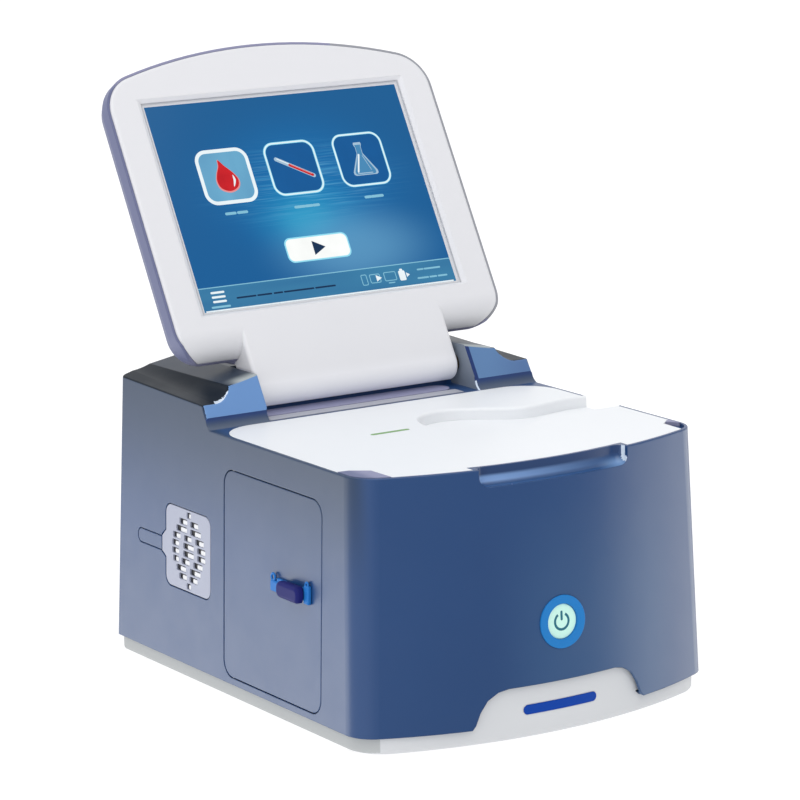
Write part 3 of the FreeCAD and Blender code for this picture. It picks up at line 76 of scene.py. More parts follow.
# ---------------------------------------------------------------- materials
class Mat:
    """small builder for node materials; every pattern is in object space"""

    def __init__(self, name):
        self.m = bpy.data.materials.new(name)
        self.m.use_nodes = True
        self.t = self.m.node_tree
        self.t.nodes.clear()
        self.out = self.t.nodes.new("ShaderNodeOutputMaterial")
        self.b = self.t.nodes.new("ShaderNodeBsdfPrincipled")
        self.t.links.new(self.b.outputs[0], self.out.inputs[0])
        self.co = self.t.nodes.new("ShaderNodeTexCoord").outputs["Object"]

    def n(self, kind, **kw):
        x = self.t.nodes.new(kind)
        for k, v in kw.items():
            setattr(x, k, v)
        return x

    def link(self, a, b):
        self.t.links.new(a, b)

    def noise(self, scale, detail=2.0, rough=0.5, dist=0.0, vec=None):
        x = self.n("ShaderNodeTexNoise")
        x.inputs["Scale"].default_value = scale
        x.inputs["Detail"].default_value = detail
        x.inputs["Roughness"].default_value = rough
        x.inputs["Distortion"].default_value = dist
        self.link(vec or self.co, x.inputs["Vector"])
        return x.outputs["Fac"]

    def stretch(self, s):
        x = self.n("ShaderNodeMapping")
        x.inputs["Scale"].default_value = s
        self.link(self.co, x.inputs["Vector"])
        return x.outputs[0]

    def span(self, fac, a, b, lo=0.0, hi=1.0):
        x = self.n("ShaderNodeMapRange")
        x.inputs["From Min"].default_value = lo
        x.inputs["From Max"].default_value = hi
        x.inputs["To Min"].default_value = a
        x.inputs["To Max"].default_value = b
        self.link(fac, x.inputs["Value"])
        return x.outputs[0]

    def mix(self, fac, a, b):
        x = self.n("ShaderNodeMix", data_type="RGBA")
        for s, v in ((x.inputs[6], a), (x.inputs[7], b)):
            if hasattr(v, "is_output"):
                self.link(v, s)
            else:
                s.default_value = (*v[:3], 1)
        if hasattr(fac, "is_output"):
            self.link(fac, x.inputs[0])
        else:
            x.inputs[0].default_value = fac
        return x.outputs[2]

    def bump(self, height, strength, dist, normal=None):
        x = self.n("ShaderNodeBump")
        x.inputs["Strength"].default_value = strength
        x.inputs["Distance"].default_value = dist
        self.link(height, x.inputs["Height"])
        if normal is not None:
            self.link(normal, x.inputs["Normal"])
        return x.outputs[0]

    def bevel(self, r, samples=4):
        x = self.n("ShaderNodeBevel", samples=samples)
        x.inputs["Radius"].default_value = r
        return x.outputs[0]

    def edge(self, bev):
        """1 on convex or concave edges, 0 on flats"""
        g = self.n("ShaderNodeNewGeometry")
        d = self.n("ShaderNodeVectorMath", operation="DOT_PRODUCT")
        self.link(bev, d.inputs[0])
        self.link(g.outputs["Normal"], d.inputs[1])
        return self.span(d.outputs["Value"], 1.0, 0.0, 0.90, 0.995)

    def set(self, **kw):
        for k, v in kw.items():
            s = self.b.inputs[k.replace("_", " ")]
            if hasattr(v, "is_output"):
                self.link(v, s)
            else:
                s.default_value = v
        return self


def plastic(name, base, rough=0.4, grain=0.25, grain_scale=2600, tint=0.03, spec=0.5, coat=0.0, coat_rough=0.15, bevel=0.0006,
            edge_pale=0.05, sss=0.0, patch=9.0):
    m = Mat(name)
    c = [max(0.0, v) for v in base]
    lo = [v * (1 - tint) for v in c]
    hi = [min(1.0, v * (1 + tint) + 0.002) for v in c]
    col = m.mix(m.noise(patch, 3.0, 0.55), lo, hi)
    nrm = None
    if bevel:
        nrm = m.bevel(bevel)
        # edges, convex and concave, turn paler in noisy patches
        if edge_pale:
            e = m.edge(nrm)
            f = m.n("ShaderNodeMath", operation="MULTIPLY")
            m.link(e, f.inputs[0])
            m.link(m.span(m.noise(160, 3.0, 0.6), 0.0, edge_pale * 2.0, 0.35, 0.7), f.inputs[1])
            col = m.mix(f.outputs[0], col, [min(1.0, v * 1.25 + 0.12) for v in c])
    m.set(Base_Color=col, Roughness=m.span(m.noise(55, 4.0, 0.6), max(0.02, rough - 0.05), min(1.0, rough + 0.05)), Metallic=0.0)
    m.b.inputs["Specular IOR Level"].default_value = spec
    m.b.inputs["IOR"].default_value = 1.5
    m.b.inputs["Coat Weight"].default_value = coat
    m.b.inputs["Coat Roughness"].default_value = coat_rough
    if sss:
        m.b.inputs["Subsurface Weight"].default_value = sss
        m.b.inputs["Subsurface Radius"].default_value = (0.002, 0.002, 0.002)
        m.b.inputs["Subsurface Scale"].default_value = 1.0
    if grain:
        nrm = m.bump(m.noise(grain_scale, 2.0, 0.6), grain, 0.00004, nrm)
    if nrm is not None:
        m.link(nrm, m.b.inputs["Normal"])
    return m.m


def metal(name, base, rough=0.3, brush=(1, 1, 1), strength=0.3, scale=900, bevel=0.0003):
    m = Mat(name)
    v = m.stretch(brush)
    f = m.noise(scale, 4.0, 0.6, vec=v)
    col = m.mix(m.noise(30, 3.0), [x * 0.92 for x in base], base)
    m.set(Base_Color=col, Metallic=1.0, Roughness=m.span(f, rough - 0.07, rough + 0.09))
    n = m.bump(f, strength, 0.00003, m.bevel(bevel) if bevel else None)
    m.link(n, m.b.inputs["Normal"])
    return m.m


def rubber(name, base, rough=0.75):
    m = Mat(name)
    m.set(Base_Color=m.mix(m.noise(120, 4.0), [v * 0.8 for v in base], [v * 1.3 for v in base]),
          Roughness=m.span(m.noise(300, 3.0), rough - 0.08, rough + 0.08))
    m.link(m.bump(m.noise(3200, 2.0), 0.4, 0.00005, m.bevel(0.0004)), m.b.inputs["Normal"])
    return m.m


def board(name):
    m = Mat(name)
    v = m.n("ShaderNodeTexVoronoi", feature="DISTANCE_TO_EDGE")
    v.inputs["Scale"].default_value = 260
    m.link(m.co, v.inputs["Vector"])
    tr = m.span(v.outputs["Distance"], 1.0, 0.0, 0.04, 0.06)
    m.set(Base_Color=m.mix(tr, (0.010, 0.085, 0.035), (0.025, 0.17, 0.07)), Roughness=0.32)
    m.b.inputs["Coat Weight"].default_value = 0.4
    m.link(m.bump(tr, 0.35, 0.00005), m.b.inputs["Normal"])
    return m.m


def foam(name, base):
    m = Mat(name)
    v = m.n("ShaderNodeTexVoronoi")
    v.inputs["Scale"].default_value = 950
    m.link(m.co, v.inputs["Vector"])
    m.set(Base_Color=m.mix(v.outputs["Distance"], base, [x * 0.72 for x in base]), Roughness=0.95)
    m.link(m.bump(v.outputs["Distance"], 0.6, 0.0003), m.b.inputs["Normal"])
    return m.m


def lin(r, g, b):
    f = lambda v: (v / 255 / 12.92) if v / 255 <= 0.04045 else ((v / 255 + 0.055) / 1.055) ** 2.4
    return (f(r), f(g), f(b))


M = {}
M["housing_blue"] = plastic("housing_blue", (0.009, 0.054, 0.180), rough=0.34, grain=0.10, tint=0.05, spec=0.6, coat=0.0, bevel=0.0009, edge_pale=0.04)
M["tray_grey"] = plastic("tray_grey", lin(214, 216, 219), rough=0.55, grain=0.22, bevel=0.0009, spec=0.16)
M["deck_white"] = plastic("deck_white", lin(238, 240, 243), rough=0.42, grain=0.12, bevel=0.0006, tint=0.012)
M["bezel_white"] = plastic("bezel_white", lin(228, 228, 232), rough=0.48, grain=0.16, bevel=0.0012, tint=0.012)
# the bezel white with a painted glow on its lower neck
M_BEZEL_PAINTED_GLOW = plastic("bezel_painted_glow", lin(228, 228, 232), rough=0.48, grain=0.16, bevel=0.0012, tint=0.012)
M["shell_lavender"] = plastic("shell_lavender", lin(146, 147, 177), rough=0.45, grain=0.15, bevel=0.001, spec=0.2)
M_LAV_RIGHT = plastic("lavender_right", lin(156, 158, 166), rough=0.45, grain=0.15, bevel=0.001, spec=0.2)
# painted reflection: the wings' up-tilted front faces are painted a lighter blue for the light they catch
M_WING_L_REFLECTION = plastic("wing_left_painted_reflection", (0.140, 0.29, 0.59), rough=0.3, grain=0.08, tint=0.04, spec=0.5, bevel=0.0006)
M_WING_R_REFLECTION = plastic("wing_right_painted_reflection", (0.112, 0.225, 0.435), rough=0.3, grain=0.08, tint=0.04, spec=0.5, bevel=0.0006)
# painted shade: the wing gutters painted dark for the screen's shadow and the dark they reflect
M_GUTTER_SHADE = plastic("gutter_painted_shade", lin(24, 33, 44), rough=0.34, grain=0.10, tint=0.05, spec=0.08, bevel=0.0008)
# painted shade: the tray's left side darker than the rest of the tray
M_TRAY_SIDE_SHADE = plastic("tray_side_painted_shade", lin(186, 189, 190), rough=0.55, grain=0.22, bevel=0.0009, spec=0.12)
# painted highlight: pale glints set on chosen edge faces
M_PAINTED_GLINT = plastic("painted_glint", lin(214, 228, 244), rough=0.25, grain=0.0, bevel=0.0, spec=0.5)
# painted shade for the wing's rounded inner edge
M_EDGE_SHADE = plastic("edge_painted_shade", lin(26, 52, 108), rough=0.3, grain=0.0, bevel=0.0, spec=0.4)
# painted light: the blue pocket wall painted a lit grey
M_WALL_LIT = plastic("pocket_wall_painted_light", lin(128, 138, 152), rough=0.35, grain=0.1, bevel=0.0006, spec=0.4)
# painted shade: the rear hump painted dark for the screen's shadow, with a painted lit facet near the neck
M_HUMP_SHADE_AND_HIGHLIGHT = plastic("hump_painted_shade_and_highlight", lin(50, 61, 76), rough=0.34, grain=0.10, tint=0.05, spec=0.13, bevel=0.0008)


def overlay(material, steps, color=None, emit=None, strength=0.0):
    """a second tone over a plastic, or a faint glow, faded along object axes; mostly painted shade, painted highlight
    and a painted glow; steps are (axis, none, full) in working mm
    """
    t = material.node_tree
    b = next(x for x in t.nodes if x.type == "BSDF_PRINCIPLED")
    sx = t.nodes.new("ShaderNodeSeparateXYZ")
    t.links.new(t.nodes.new("ShaderNodeTexCoord").outputs["Object"], sx.inputs[0])
    fac = None
    for axis, lo, hi in steps:
        r = t.nodes.new("ShaderNodeMapRange")
        r.interpolation_type = "SMOOTHSTEP"
        r.inputs["From Min"].default_value = (lo + SHIFT[axis]) / 1000.0
        r.inputs["From Max"].default_value = (hi + SHIFT[axis]) / 1000.0
        t.links.new(sx.outputs[axis], r.inputs["Value"])
        if fac is None:
            fac = r.outputs[0]
        else:
            x = t.nodes.new("ShaderNodeMath")
            x.operation = "MULTIPLY"
            t.links.new(fac, x.inputs[0])
            t.links.new(r.outputs[0], x.inputs[1])
            fac = x.outputs[0]
    if color:
        src = b.inputs["Base Color"].links[0].from_socket
        mx = t.nodes.new("ShaderNodeMix")
        mx.data_type = "RGBA"
        t.links.new(fac, mx.inputs[0])
        t.links.new(src, mx.inputs[6])
        mx.inputs[7].default_value = (*color, 1)
        t.links.new(mx.outputs[2], b.inputs["Base Color"])
    if emit:
        b.inputs["Emission Color"].default_value = (*emit, 1)
        x = t.nodes.new("ShaderNodeMath")
        x.operation = "MULTIPLY"
        t.links.new(fac, x.inputs[0])
        x.inputs[1].default_value = strength
        t.links.new(x.outputs[0], b.inputs["Emission Strength"])


# painted light: a faint glow on the bezel's lower neck lifts its shaded rounded underside
overlay(M_BEZEL_PAINTED_GLOW, [(2, 214, 193)], emit=lin(190, 194, 204), strength=0.20)
overlay(M["shell_lavender"], [(0, -120, -129)], color=lin(112, 117, 150))
# painted light: a lit grey facet on the hump beside the neck
overlay(M_HUMP_SHADE_AND_HIGHLIGHT, [(1, 66, 50), (0, -112, -100)], color=lin(170, 178, 180))
# painted shade: a dark navy strip along the right wing's rounded inner edge
overlay(M_WING_R_REFLECTION, [(0, 90.4, 89.8)], color=lin(24, 50, 108))
# painted shade: the right wing face darker towards its right end and its bottom
overlay(M_WING_R_REFLECTION, [(0, 98, 136), (2, 214, 196)], color=lin(86, 118, 166))
# painted shade: the housing's left side darker towards its top
overlay(M["housing_blue"], [(0, -128, -136), (2, 92, 205)], color=(0.003, 0.027, 0.080))
# painted light: the housing's front lighter in its middle and lower part
overlay(M["housing_blue"], [(1, -140, -158), (0, -60, 0), (0, 118, 75), (2, 185, 70)], color=(0.023, 0.081, 0.212))
M_BRONZE = metal("sintered_bronze", (0.10, 0.075, 0.05), 0.55, (1, 1, 1), 0.4, 3000)
M["vent_grey"] = plastic("vent_grey", lin(172, 177, 196), rough=0.42, grain=0.15, bevel=0.0004, spec=0.25)
M["filter_white"] = foam("filter_white", lin(238, 239, 242))
M_TAB = plastic("louvre_white", lin(240, 241, 244), rough=0.4, grain=0.1, bevel=0.0003, spec=0.2)
M["latch_blue"] = plastic("latch_blue", lin(38, 118, 198), rough=0.45, grain=0.05, bevel=0.0006, spec=0.15)
M["latch_navy"] = plastic("latch_navy", lin(32, 36, 106), rough=0.42, grain=0.05, bevel=0.0008, spec=0.08)
M["ring_blue"] = plastic("ring_blue", lin(30, 124, 198), rough=0.36, grain=0.04, spec=0.2, bevel=0.0005)
M["symbol_teal"] = plastic("symbol_teal", lin(20, 110, 130), rough=0.3, grain=0.0, bevel=0.0)
M["rubber"] = rubber("rubber", (0.012, 0.012, 0.014))
M["steel"] = metal("steel", (0.56, 0.57, 0.59), 0.32, (1, 14, 1))
M["brass"] = metal("brass", (0.72, 0.55, 0.24), 0.28, (12, 1, 1))
M["aluminium"] = metal("aluminium", (0.72, 0.73, 0.75), 0.42, (1, 1, 1), 0.5, 2200)
M["pcb"] = board("pcb")
M["components"] = plastic("components", (0.012, 0.012, 0.014), rough=0.5, bevel=0.0003)
M["dark_plastic"] = plastic("dark_plastic", (0.014, 0.014, 0.018), rough=0.5, grain=0.4, bevel=0.0004)
M["liner_grey"] = plastic("liner_grey", lin(188, 192, 202), rough=0.55, grain=0.3, bevel=0.0006)
M["pack_plastic"] = plastic("pack_plastic", lin(232, 233, 230), rough=0.4, grain=0.1, bevel=0.001)
M["strip_grey"] = plastic("strip_grey", lin(176, 178, 188), rough=0.35, grain=0.1, bevel=0.0003)


def glow(name, base, emit, strength, rough=0.3):
    m = Mat(name)
    m.set(Base_Color=m.mix(m.noise(400, 2.0), [v * 0.92 for v in base], base), Roughness=m.span(m.noise(90, 3.0), rough - 0.04, rough + 0.04))
    m.b.inputs["Emission Color"].default_value = (*emit, 1)
    m.b.inputs["Emission Strength"].default_value = strength
    m.b.inputs["Specular IOR Level"].default_value = 0.2
    return m.m


M["led_green"] = glow("led_green", lin(106, 156, 78), lin(100, 160, 60), 0.12)
M["light_blue_bar"] = glow("light_blue_bar", lin(8, 58, 148), lin(8, 70, 170), 0.22, 0.25)
M["button_mint"] = glow("button_mint", lin(196, 230, 218), lin(170, 230, 215), 0.25, 0.2)


def glass():
    m = Mat("display_glass")
    m.set(Base_Color=(0.97, 0.985, 1.0, 1.0), Roughness=0.03, IOR=1.12)
    m.b.inputs["Transmission Weight"].default_value = 1.0
    m.b.inputs["Specular IOR Level"].default_value = 0.5
    return m.m


M["display_glass"] = glass()


def lcd():
    m = Mat("lcd_body")
    m.set(Base_Color=lin(20, 60, 110) + (1.0,), Roughness=0.3)
    m.b.inputs["Emission Color"].default_value = (*lin(24, 92, 150), 1)
    m.b.inputs["Emission Strength"].default_value = 1.0
    return m.m


M["lcd_body"] = lcd()

slot_of = {s["node"]: s["material_slot"] for s in frame["record"]["subparts"]}
for name, o in nodes.items():
    o.data.materials.clear()
    o.data.materials.append(M[slot_of[name]])

nodes["hinge_bushes"].data.materials[0] = M_BRONZE


def repaint(node, choices):
    """gives the faces that a test accepts a material of their own; centres are in working millimetres"""
    o = nodes[node]
    base = len(o.data.materials)
    for m, _ in choices:
        o.data.materials.append(m)
    rot = o.matrix_world.to_3x3()
    for f in o.data.polygons:
        c = (o.matrix_world @ f.center) * 1000.0 - SHIFT
        n = rot @ f.normal
        for k, (_, test) in enumerate(choices):
            if test(c, n):
                f.material_index = base + k
                break


FACE_N = Vector((0, -0.858, 0.513))


def ramp(m, f, lo, hi):
    """smooth 0 to 1 between two values"""
    x = m.n("ShaderNodeMapRange", interpolation_type="SMOOTHSTEP")
    x.inputs["From Min"].default_value = lo
    x.inputs["From Max"].default_value = hi
    m.link(f, x.inputs["Value"])
    return x.outputs[0]


def mul(m, a, b):
    x = m.n("ShaderNodeMath", operation="MULTIPLY")
    for k, v in enumerate((a, b)):
        if hasattr(v, "is_output"):
            m.link(v, x.inputs[k])
        else:
            x.inputs[k].default_value = v
    return x.outputs[0]


def scoop_painted_light():
    """the scoop's blue with painted light: a painted highlight streak along its curve that fades to the right, a
    painted lit lower rim at the right end, and painted shade darker towards the top
    """
    m = Mat("scoop_painted_light")
    sx = m.n("ShaderNodeSeparateXYZ")
    m.link(m.co, sx.inputs[0])
    X, Y, Z = sx.outputs
    wz = lambda v: (v + SHIFT.z) / 1000.0
    wx = lambda v: (v + SHIFT.x) / 1000.0
    base = m.mix(ramp(m, Z, wz(174), wz(181)), lin(44, 80, 130), lin(38, 66, 112))
    band = mul(m, ramp(m, Z, wz(173.4), wz(175.4)), ramp(m, Z, wz(180.0), wz(177.2)))
    fade = ramp(m, X, wx(70), wx(-52))
    col = m.mix(mul(m, mul(m, band, fade), 0.95), base, lin(128, 164, 216))
    col = m.mix(mul(m, ramp(m, X, wx(36), wx(60)), ramp(m, Z, wz(178), wz(173))), col, lin(120, 156, 202))
    m.set(Base_Color=col, Roughness=m.span(m.noise(55, 4.0, 0.6), 0.22, 0.30))
    m.b.inputs["Specular IOR Level"].default_value = 0.5
    return m.m


def cove_painted_shade():
    """painted shade: dark navy under the wing face, turning greyer towards the deck"""
    m = Mat("cove_painted_shade")
    sx = m.n("ShaderNodeSeparateXYZ")
    m.link(m.co, sx.inputs[0])
    wz_ = lambda v: (v + SHIFT.z) / 1000.0
    col = m.mix(ramp(m, sx.outputs[2], wz_(191.8), wz_(186.2)), lin(34, 62, 118), lin(66, 82, 108))
    m.set(Base_Color=col, Roughness=m.span(m.noise(55, 4.0, 0.6), 0.30, 0.40))
    return m.m


repaint("outer_shell", [
    # painted reflection: lighter blue on the wings' up-tilted front faces
    (M_WING_L_REFLECTION, lambda c, n: c.x < -86 and 191.5 < c.z < 212 and 37 < c.y < 56 and n.dot(FACE_N) > 0.93),
    (M_WING_R_REFLECTION, lambda c, n: c.x > 86 and 191.5 < c.z < 212 and 37 < c.y < 56 and n.dot(FACE_N) > 0.93),
    # painted highlight: the white arc on the left wing's trough edge
    (M_PAINTED_GLINT, lambda c, n: -126 < c.x < -108 and c.z > 197 and 40 < c.y < 48 and 0.45 < n.dot(FACE_N) < 0.93 and n.z > 0.3),
    # painted highlight: a glint at the foot of the right wing's inner edge
    (M_PAINTED_GLINT, lambda c, n: 86.4 < c.x < 89.4 and 184.6 < c.z < 190.5 and c.y < 50 and -0.93 < n.x < -0.25),
    # painted shade: dark navy on the right wing's inner edge fillet
    (M_EDGE_SHADE, lambda c, n: 86.4 < c.x < 89.4 and 184.6 < c.z < 214 and c.y < 52 and -0.97 < n.x < -0.12),
    # painted light on the pocket's end wall
    (M_WALL_LIT, lambda c, n: 86.4 < c.x < 87.6 and c.z > 184.6 and 33 < c.y < 120 and n.x < -0.9),
    # painted highlight: a glint on the rounded right end of the scoop
    (M_PAINTED_GLINT, lambda c, n: 60.0 < c.x < 62.6 and -180 < c.y < -168 and 171 < c.z < 184.4 and -0.95 < n.x < -0.72),
    # painted highlight and shade in the scoop
    (scoop_painted_light(), lambda c, n: 324.3 < math.hypot(c.x, c.y - 149.4) < 333.7 and abs(c.x - 2.5) < 60.2 and 172.4 < c.z < 184.6
     and (n.z > 0.12 or math.hypot(c.x, c.y - 149.4) < 327.0)),
    # painted shade in the coves under the wings
    (cove_painted_shade(), lambda c, n: abs(c.x) > 86.9 and 184.55 < c.z < 192.2 and 33 < c.y < 39 and n.y < -0.1),
    # painted shade on the gutters
    (M_GUTTER_SHADE, lambda c, n: c.z > 196 and c.y > 40 and n.z > 0.35 and abs(c.x) > 108),
    # painted shade on the hump
    (M_HUMP_SHADE_AND_HIGHLIGHT, lambda c, n: c.z > 196 and c.y > 40 and n.z > 0.35)])
repaint("base_tray", [(M_TRAY_SIDE_SHADE, lambda c, n: n.x < -0.6 and c.x < -120)])
nodes["screen_bezel"].data.materials[0] = M_BEZEL_PAINTED_GLOW
repaint("screen_back", [
    (M_LAV_RIGHT, lambda c, n: c.x > 60 and n.dot(DN) > 0.5)])

# ---------------------------------------------------------------- the lit display
# local axes of the display: x across, y up the glass, z out of it, in metres
M_DISP = Matrix((DX, DV, DN)).transposed().to_4x4()
M_DISP.translation = (DISP_C + SHIFT) / 1000.0
GX, GV = 110.0, 84.0           # half size of the glass, mm
GLASS_TOP = -0.75              # mm, the glass face; the lit marks stand 0.1 mm on it


def screen_picture():
    m = Mat("screen_picture")
    sx = m.n("ShaderNodeSeparateXYZ")
    m.link(m.co, sx.inputs[0])

    def math(op, a, b=0.0, c=None):
        x = m.n("ShaderNodeMath", operation=op)
        for k, v in enumerate((a, b) if c is None else (a, b, c)):
            if hasattr(v, "is_output"):
                m.link(v, x.inputs[k])
            else:
                x.inputs[k].default_value = v
        return x.outputs[0]

    def blob(cx, cy, rx, ry):
        """1 at a centre, falling to 0 along an ellipse"""
        a = math("DIVIDE", math("SUBTRACT", sx.outputs[0], cx / 1000), rx / 1000)
        b = math("DIVIDE", math("SUBTRACT", sx.outputs[1], cy / 1000), ry / 1000)
        r = math("SQRT", math("ADD", math("MULTIPLY", a, a), math("MULTIPLY", b, b)))
        f = m.n("ShaderNodeMapRange", interpolation_type="SMOOTHERSTEP")
        f.inputs["From Min"].default_value = 0.0
        f.inputs["From Max"].default_value = 1.0
        f.inputs["To Min"].default_value = 1.0
        f.inputs["To Max"].default_value = 0.0
        m.link(r, f.inputs["Value"])
        return f.outputs[0]

    col = m.mix(m.span(sx.outputs[1], 0.0, 1.0, -0.075, 0.075), lin(12, 92, 152), lin(18, 92, 148))
    col = m.mix(math("MULTIPLY", blob(6, 6, 118, 82), 0.80), col, lin(8, 112, 178))
    col = m.mix(math("MULTIPLY", blob(0, -16, 66, 44), 0.75), col, lin(28, 146, 196))
    col = m.mix(math("MULTIPLY", blob(-2, -20, 34, 26), 0.55), col, lin(44, 168, 208))
    col = m.mix(math("MULTIPLY", blob(30, -44, 96, 46), 0.66), col, lin(104, 168, 208))
    # fine level streaks, strongest beside the icons
    st = m.span(m.noise(1.0, 2.0, 0.55, vec=m.stretch((11.0, 420.0, 1.0))), 0.0, 1.0, 0.50, 0.66)
    st2 = m.span(m.noise(1.0, 2.0, 0.5, vec=m.stretch((26.0, 900.0, 1.0))), 0.0, 1.0, 0.50, 0.70)
    zone = blob(4, 10, 112, 46)
    col = m.mix(math("MULTIPLY", math("MULTIPLY", st, zone), 0.38), col, lin(84, 178, 222))
    col = m.mix(math("MULTIPLY", math("MULTIPLY", st2, zone), 0.22), col, lin(150, 214, 240))
    m.set(Base_Color=(0.004, 0.010, 0.018, 1.0), Roughness=0.12)
    m.b.inputs["Specular IOR Level"].default_value = 0.25
    m.link(col, m.b.inputs["Emission Color"])
    m.b.inputs["Emission Strength"].default_value = 0.93
    return m.m


def lit(name, rgb, k=0.95, rgb2=None, scale=(60, 60, 1), rough=0.15):
    """a lit mark on the display, a little uneven like a real panel"""
    m = Mat(name)
    a = lin(*rgb)
    b = lin(*rgb2) if rgb2 else tuple(v * 0.93 for v in a)
    col = m.mix(m.span(m.noise(1.0, 2.0, 0.5, vec=m.stretch(scale)), 0.0, 1.0, 0.3, 0.7), b, a)
    m.set(Base_Color=tuple(v * 0.05 for v in a) + (1.0,), Roughness=rough)
    m.b.inputs["Specular IOR Level"].default_value = 0.25
    m.link(col, m.b.inputs["Emission Color"])
    m.b.inputs["Emission Strength"].default_value = k
    return m.m


def arc(cx, cy, r, a0, a1, n=10):
    return [(cx + r * math.cos(a0 + (a1 - a0) * i / n), cy + r * math.sin(a0 + (a1 - a0) * i / n)) for i in range(n + 1)]


def rr(cx, cy, w, h, r, n=9):
    """rounded rectangle outline, anticlockwise"""
    p = []
    for sx, sy, a in ((1, -1, -math.pi / 2), (1, 1, 0), (-1, 1, math.pi / 2), (-1, -1, math.pi)):
        p += arc(cx + sx * (w / 2 - r), cy + sy * (h / 2 - r), r, a, a + math.pi / 2, n)
    return p


def spline(pts, n=10):
    """closed smooth line through points"""
    out = []
    k = len(pts)
    for i in range(k):
        p0, p1, p2, p3 = (Vector(pts[(i + j - 1) % k]) for j in range(4))
        for s_ in range(n):
            t = s_ / n
            out.append(tuple(0.5 * ((2 * p1) + (p2 - p0) * t + (2 * p0 - 5 * p1 + 4 * p2 - p3) * t * t + (3 * p1 - p0 - 3 * p2 + p3) * t ** 3)))
    return out


class Sheet:
    """flat marks of small real thickness, in display coordinates, gathered in one mesh"""

    def __init__(self, name, body, mats, matrix, slot):
        self.name, self.body, self.mats, self.matrix, self.slot = name, body, mats, matrix, slot
        self.bm = bmesh.new()

    def plate(self, outline, z0, z1, mat, dome=0.0):
        """outline in mm; a thin plate with a slightly bevelled top edge"""
        inset = min(0.12, (z1 - z0) * 0.8)
        n = len(outline)
        c = Vector((sum(p[0] for p in outline) / n, sum(p[1] for p in outline) / n))
        rings = []
        for z, k in ((z0, 0.0), (z1 - inset * 0.5, 0.0), (z1, inset)):
            ring = []
            for i, p in enumerate(outline):
                a, b = Vector(outline[i - 1]), Vector(outline[(i + 1) % n])
                d = b - a
                nrm = Vector((-d.y, d.x)).normalized() if d.length > 1e-9 else Vector((0, 0))
                q = Vector(p) + nrm * k
                ring.append(self.bm.verts.new((q.x / 1000, q.y / 1000, z / 1000)))
            rings.append(ring)
        for r0, r1 in zip(rings, rings[1:]):
            for i in range(n):
                f = self.bm.faces.new((r0[i], r0[(i + 1) % n], r1[(i + 1) % n], r1[i]))
                f.material_index = mat
        f = self.bm.faces.new(rings[-1])
        f.material_index = mat
        f = self.bm.faces.new(list(reversed(rings[0])))
        f.material_index = mat

    def ring(self, outer, inner, z0, z1, mat):
        """a band between two outlines with the same number of points"""
        n = len(outer)
        top = [[self.bm.verts.new((p[0] / 1000, p[1] / 1000, z1 / 1000)) for p in o] for o in (outer, inner)]
        bot = [[self.bm.verts.new((p[0] / 1000, p[1] / 1000, z0 / 1000)) for p in o] for o in (outer, inner)]
        for i in range(n):
            j = (i + 1) % n
            for q in ((top[0][i], top[0][j], top[1][j], top[1][i]), (bot[0][j], bot[0][i], bot[1][i], bot[1][j]),
                      (bot[0][i], bot[0][j], top[0][j], top[0][i]), (top[1][i], top[1][j], bot[1][j], bot[1][i])):
                self.bm.faces.new(q).material_index = mat

    def done(self, replaces=()):
        me = bpy.data.meshes.new(self.name)
        bmesh.ops.recalc_face_normals(self.bm, faces=self.bm.faces)
        bmesh.ops.triangulate(self.bm, faces=[f for f in self.bm.faces if len(f.verts) > 4])
        self.bm.to_mesh(me)
        self.bm.free()
        o = bpy.data.objects.new(self.name, me)
        scene.collection.objects.link(o)
        for x in self.mats:
            me.materials.append(x)
        o.matrix_world = self.matrix
        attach(o, self.body)
        if replaces:
            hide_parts(*replaces)
        return o


def wide_line(x0, y0, x1, y1, w, r=None):
    """a bar with round ends"""
    a, b = Vector((x0, y0)), Vector((x1, y1))
    d = (b - a).normalized()
    t = math.atan2(d.y, d.x)
    r = w / 2
    return arc(b.x, b.y, r, t - math.pi / 2, t + math.pi / 2, 8) + arc(a.x, a.y, r, t + math.pi / 2, t + 3 * math.pi / 2, 8)


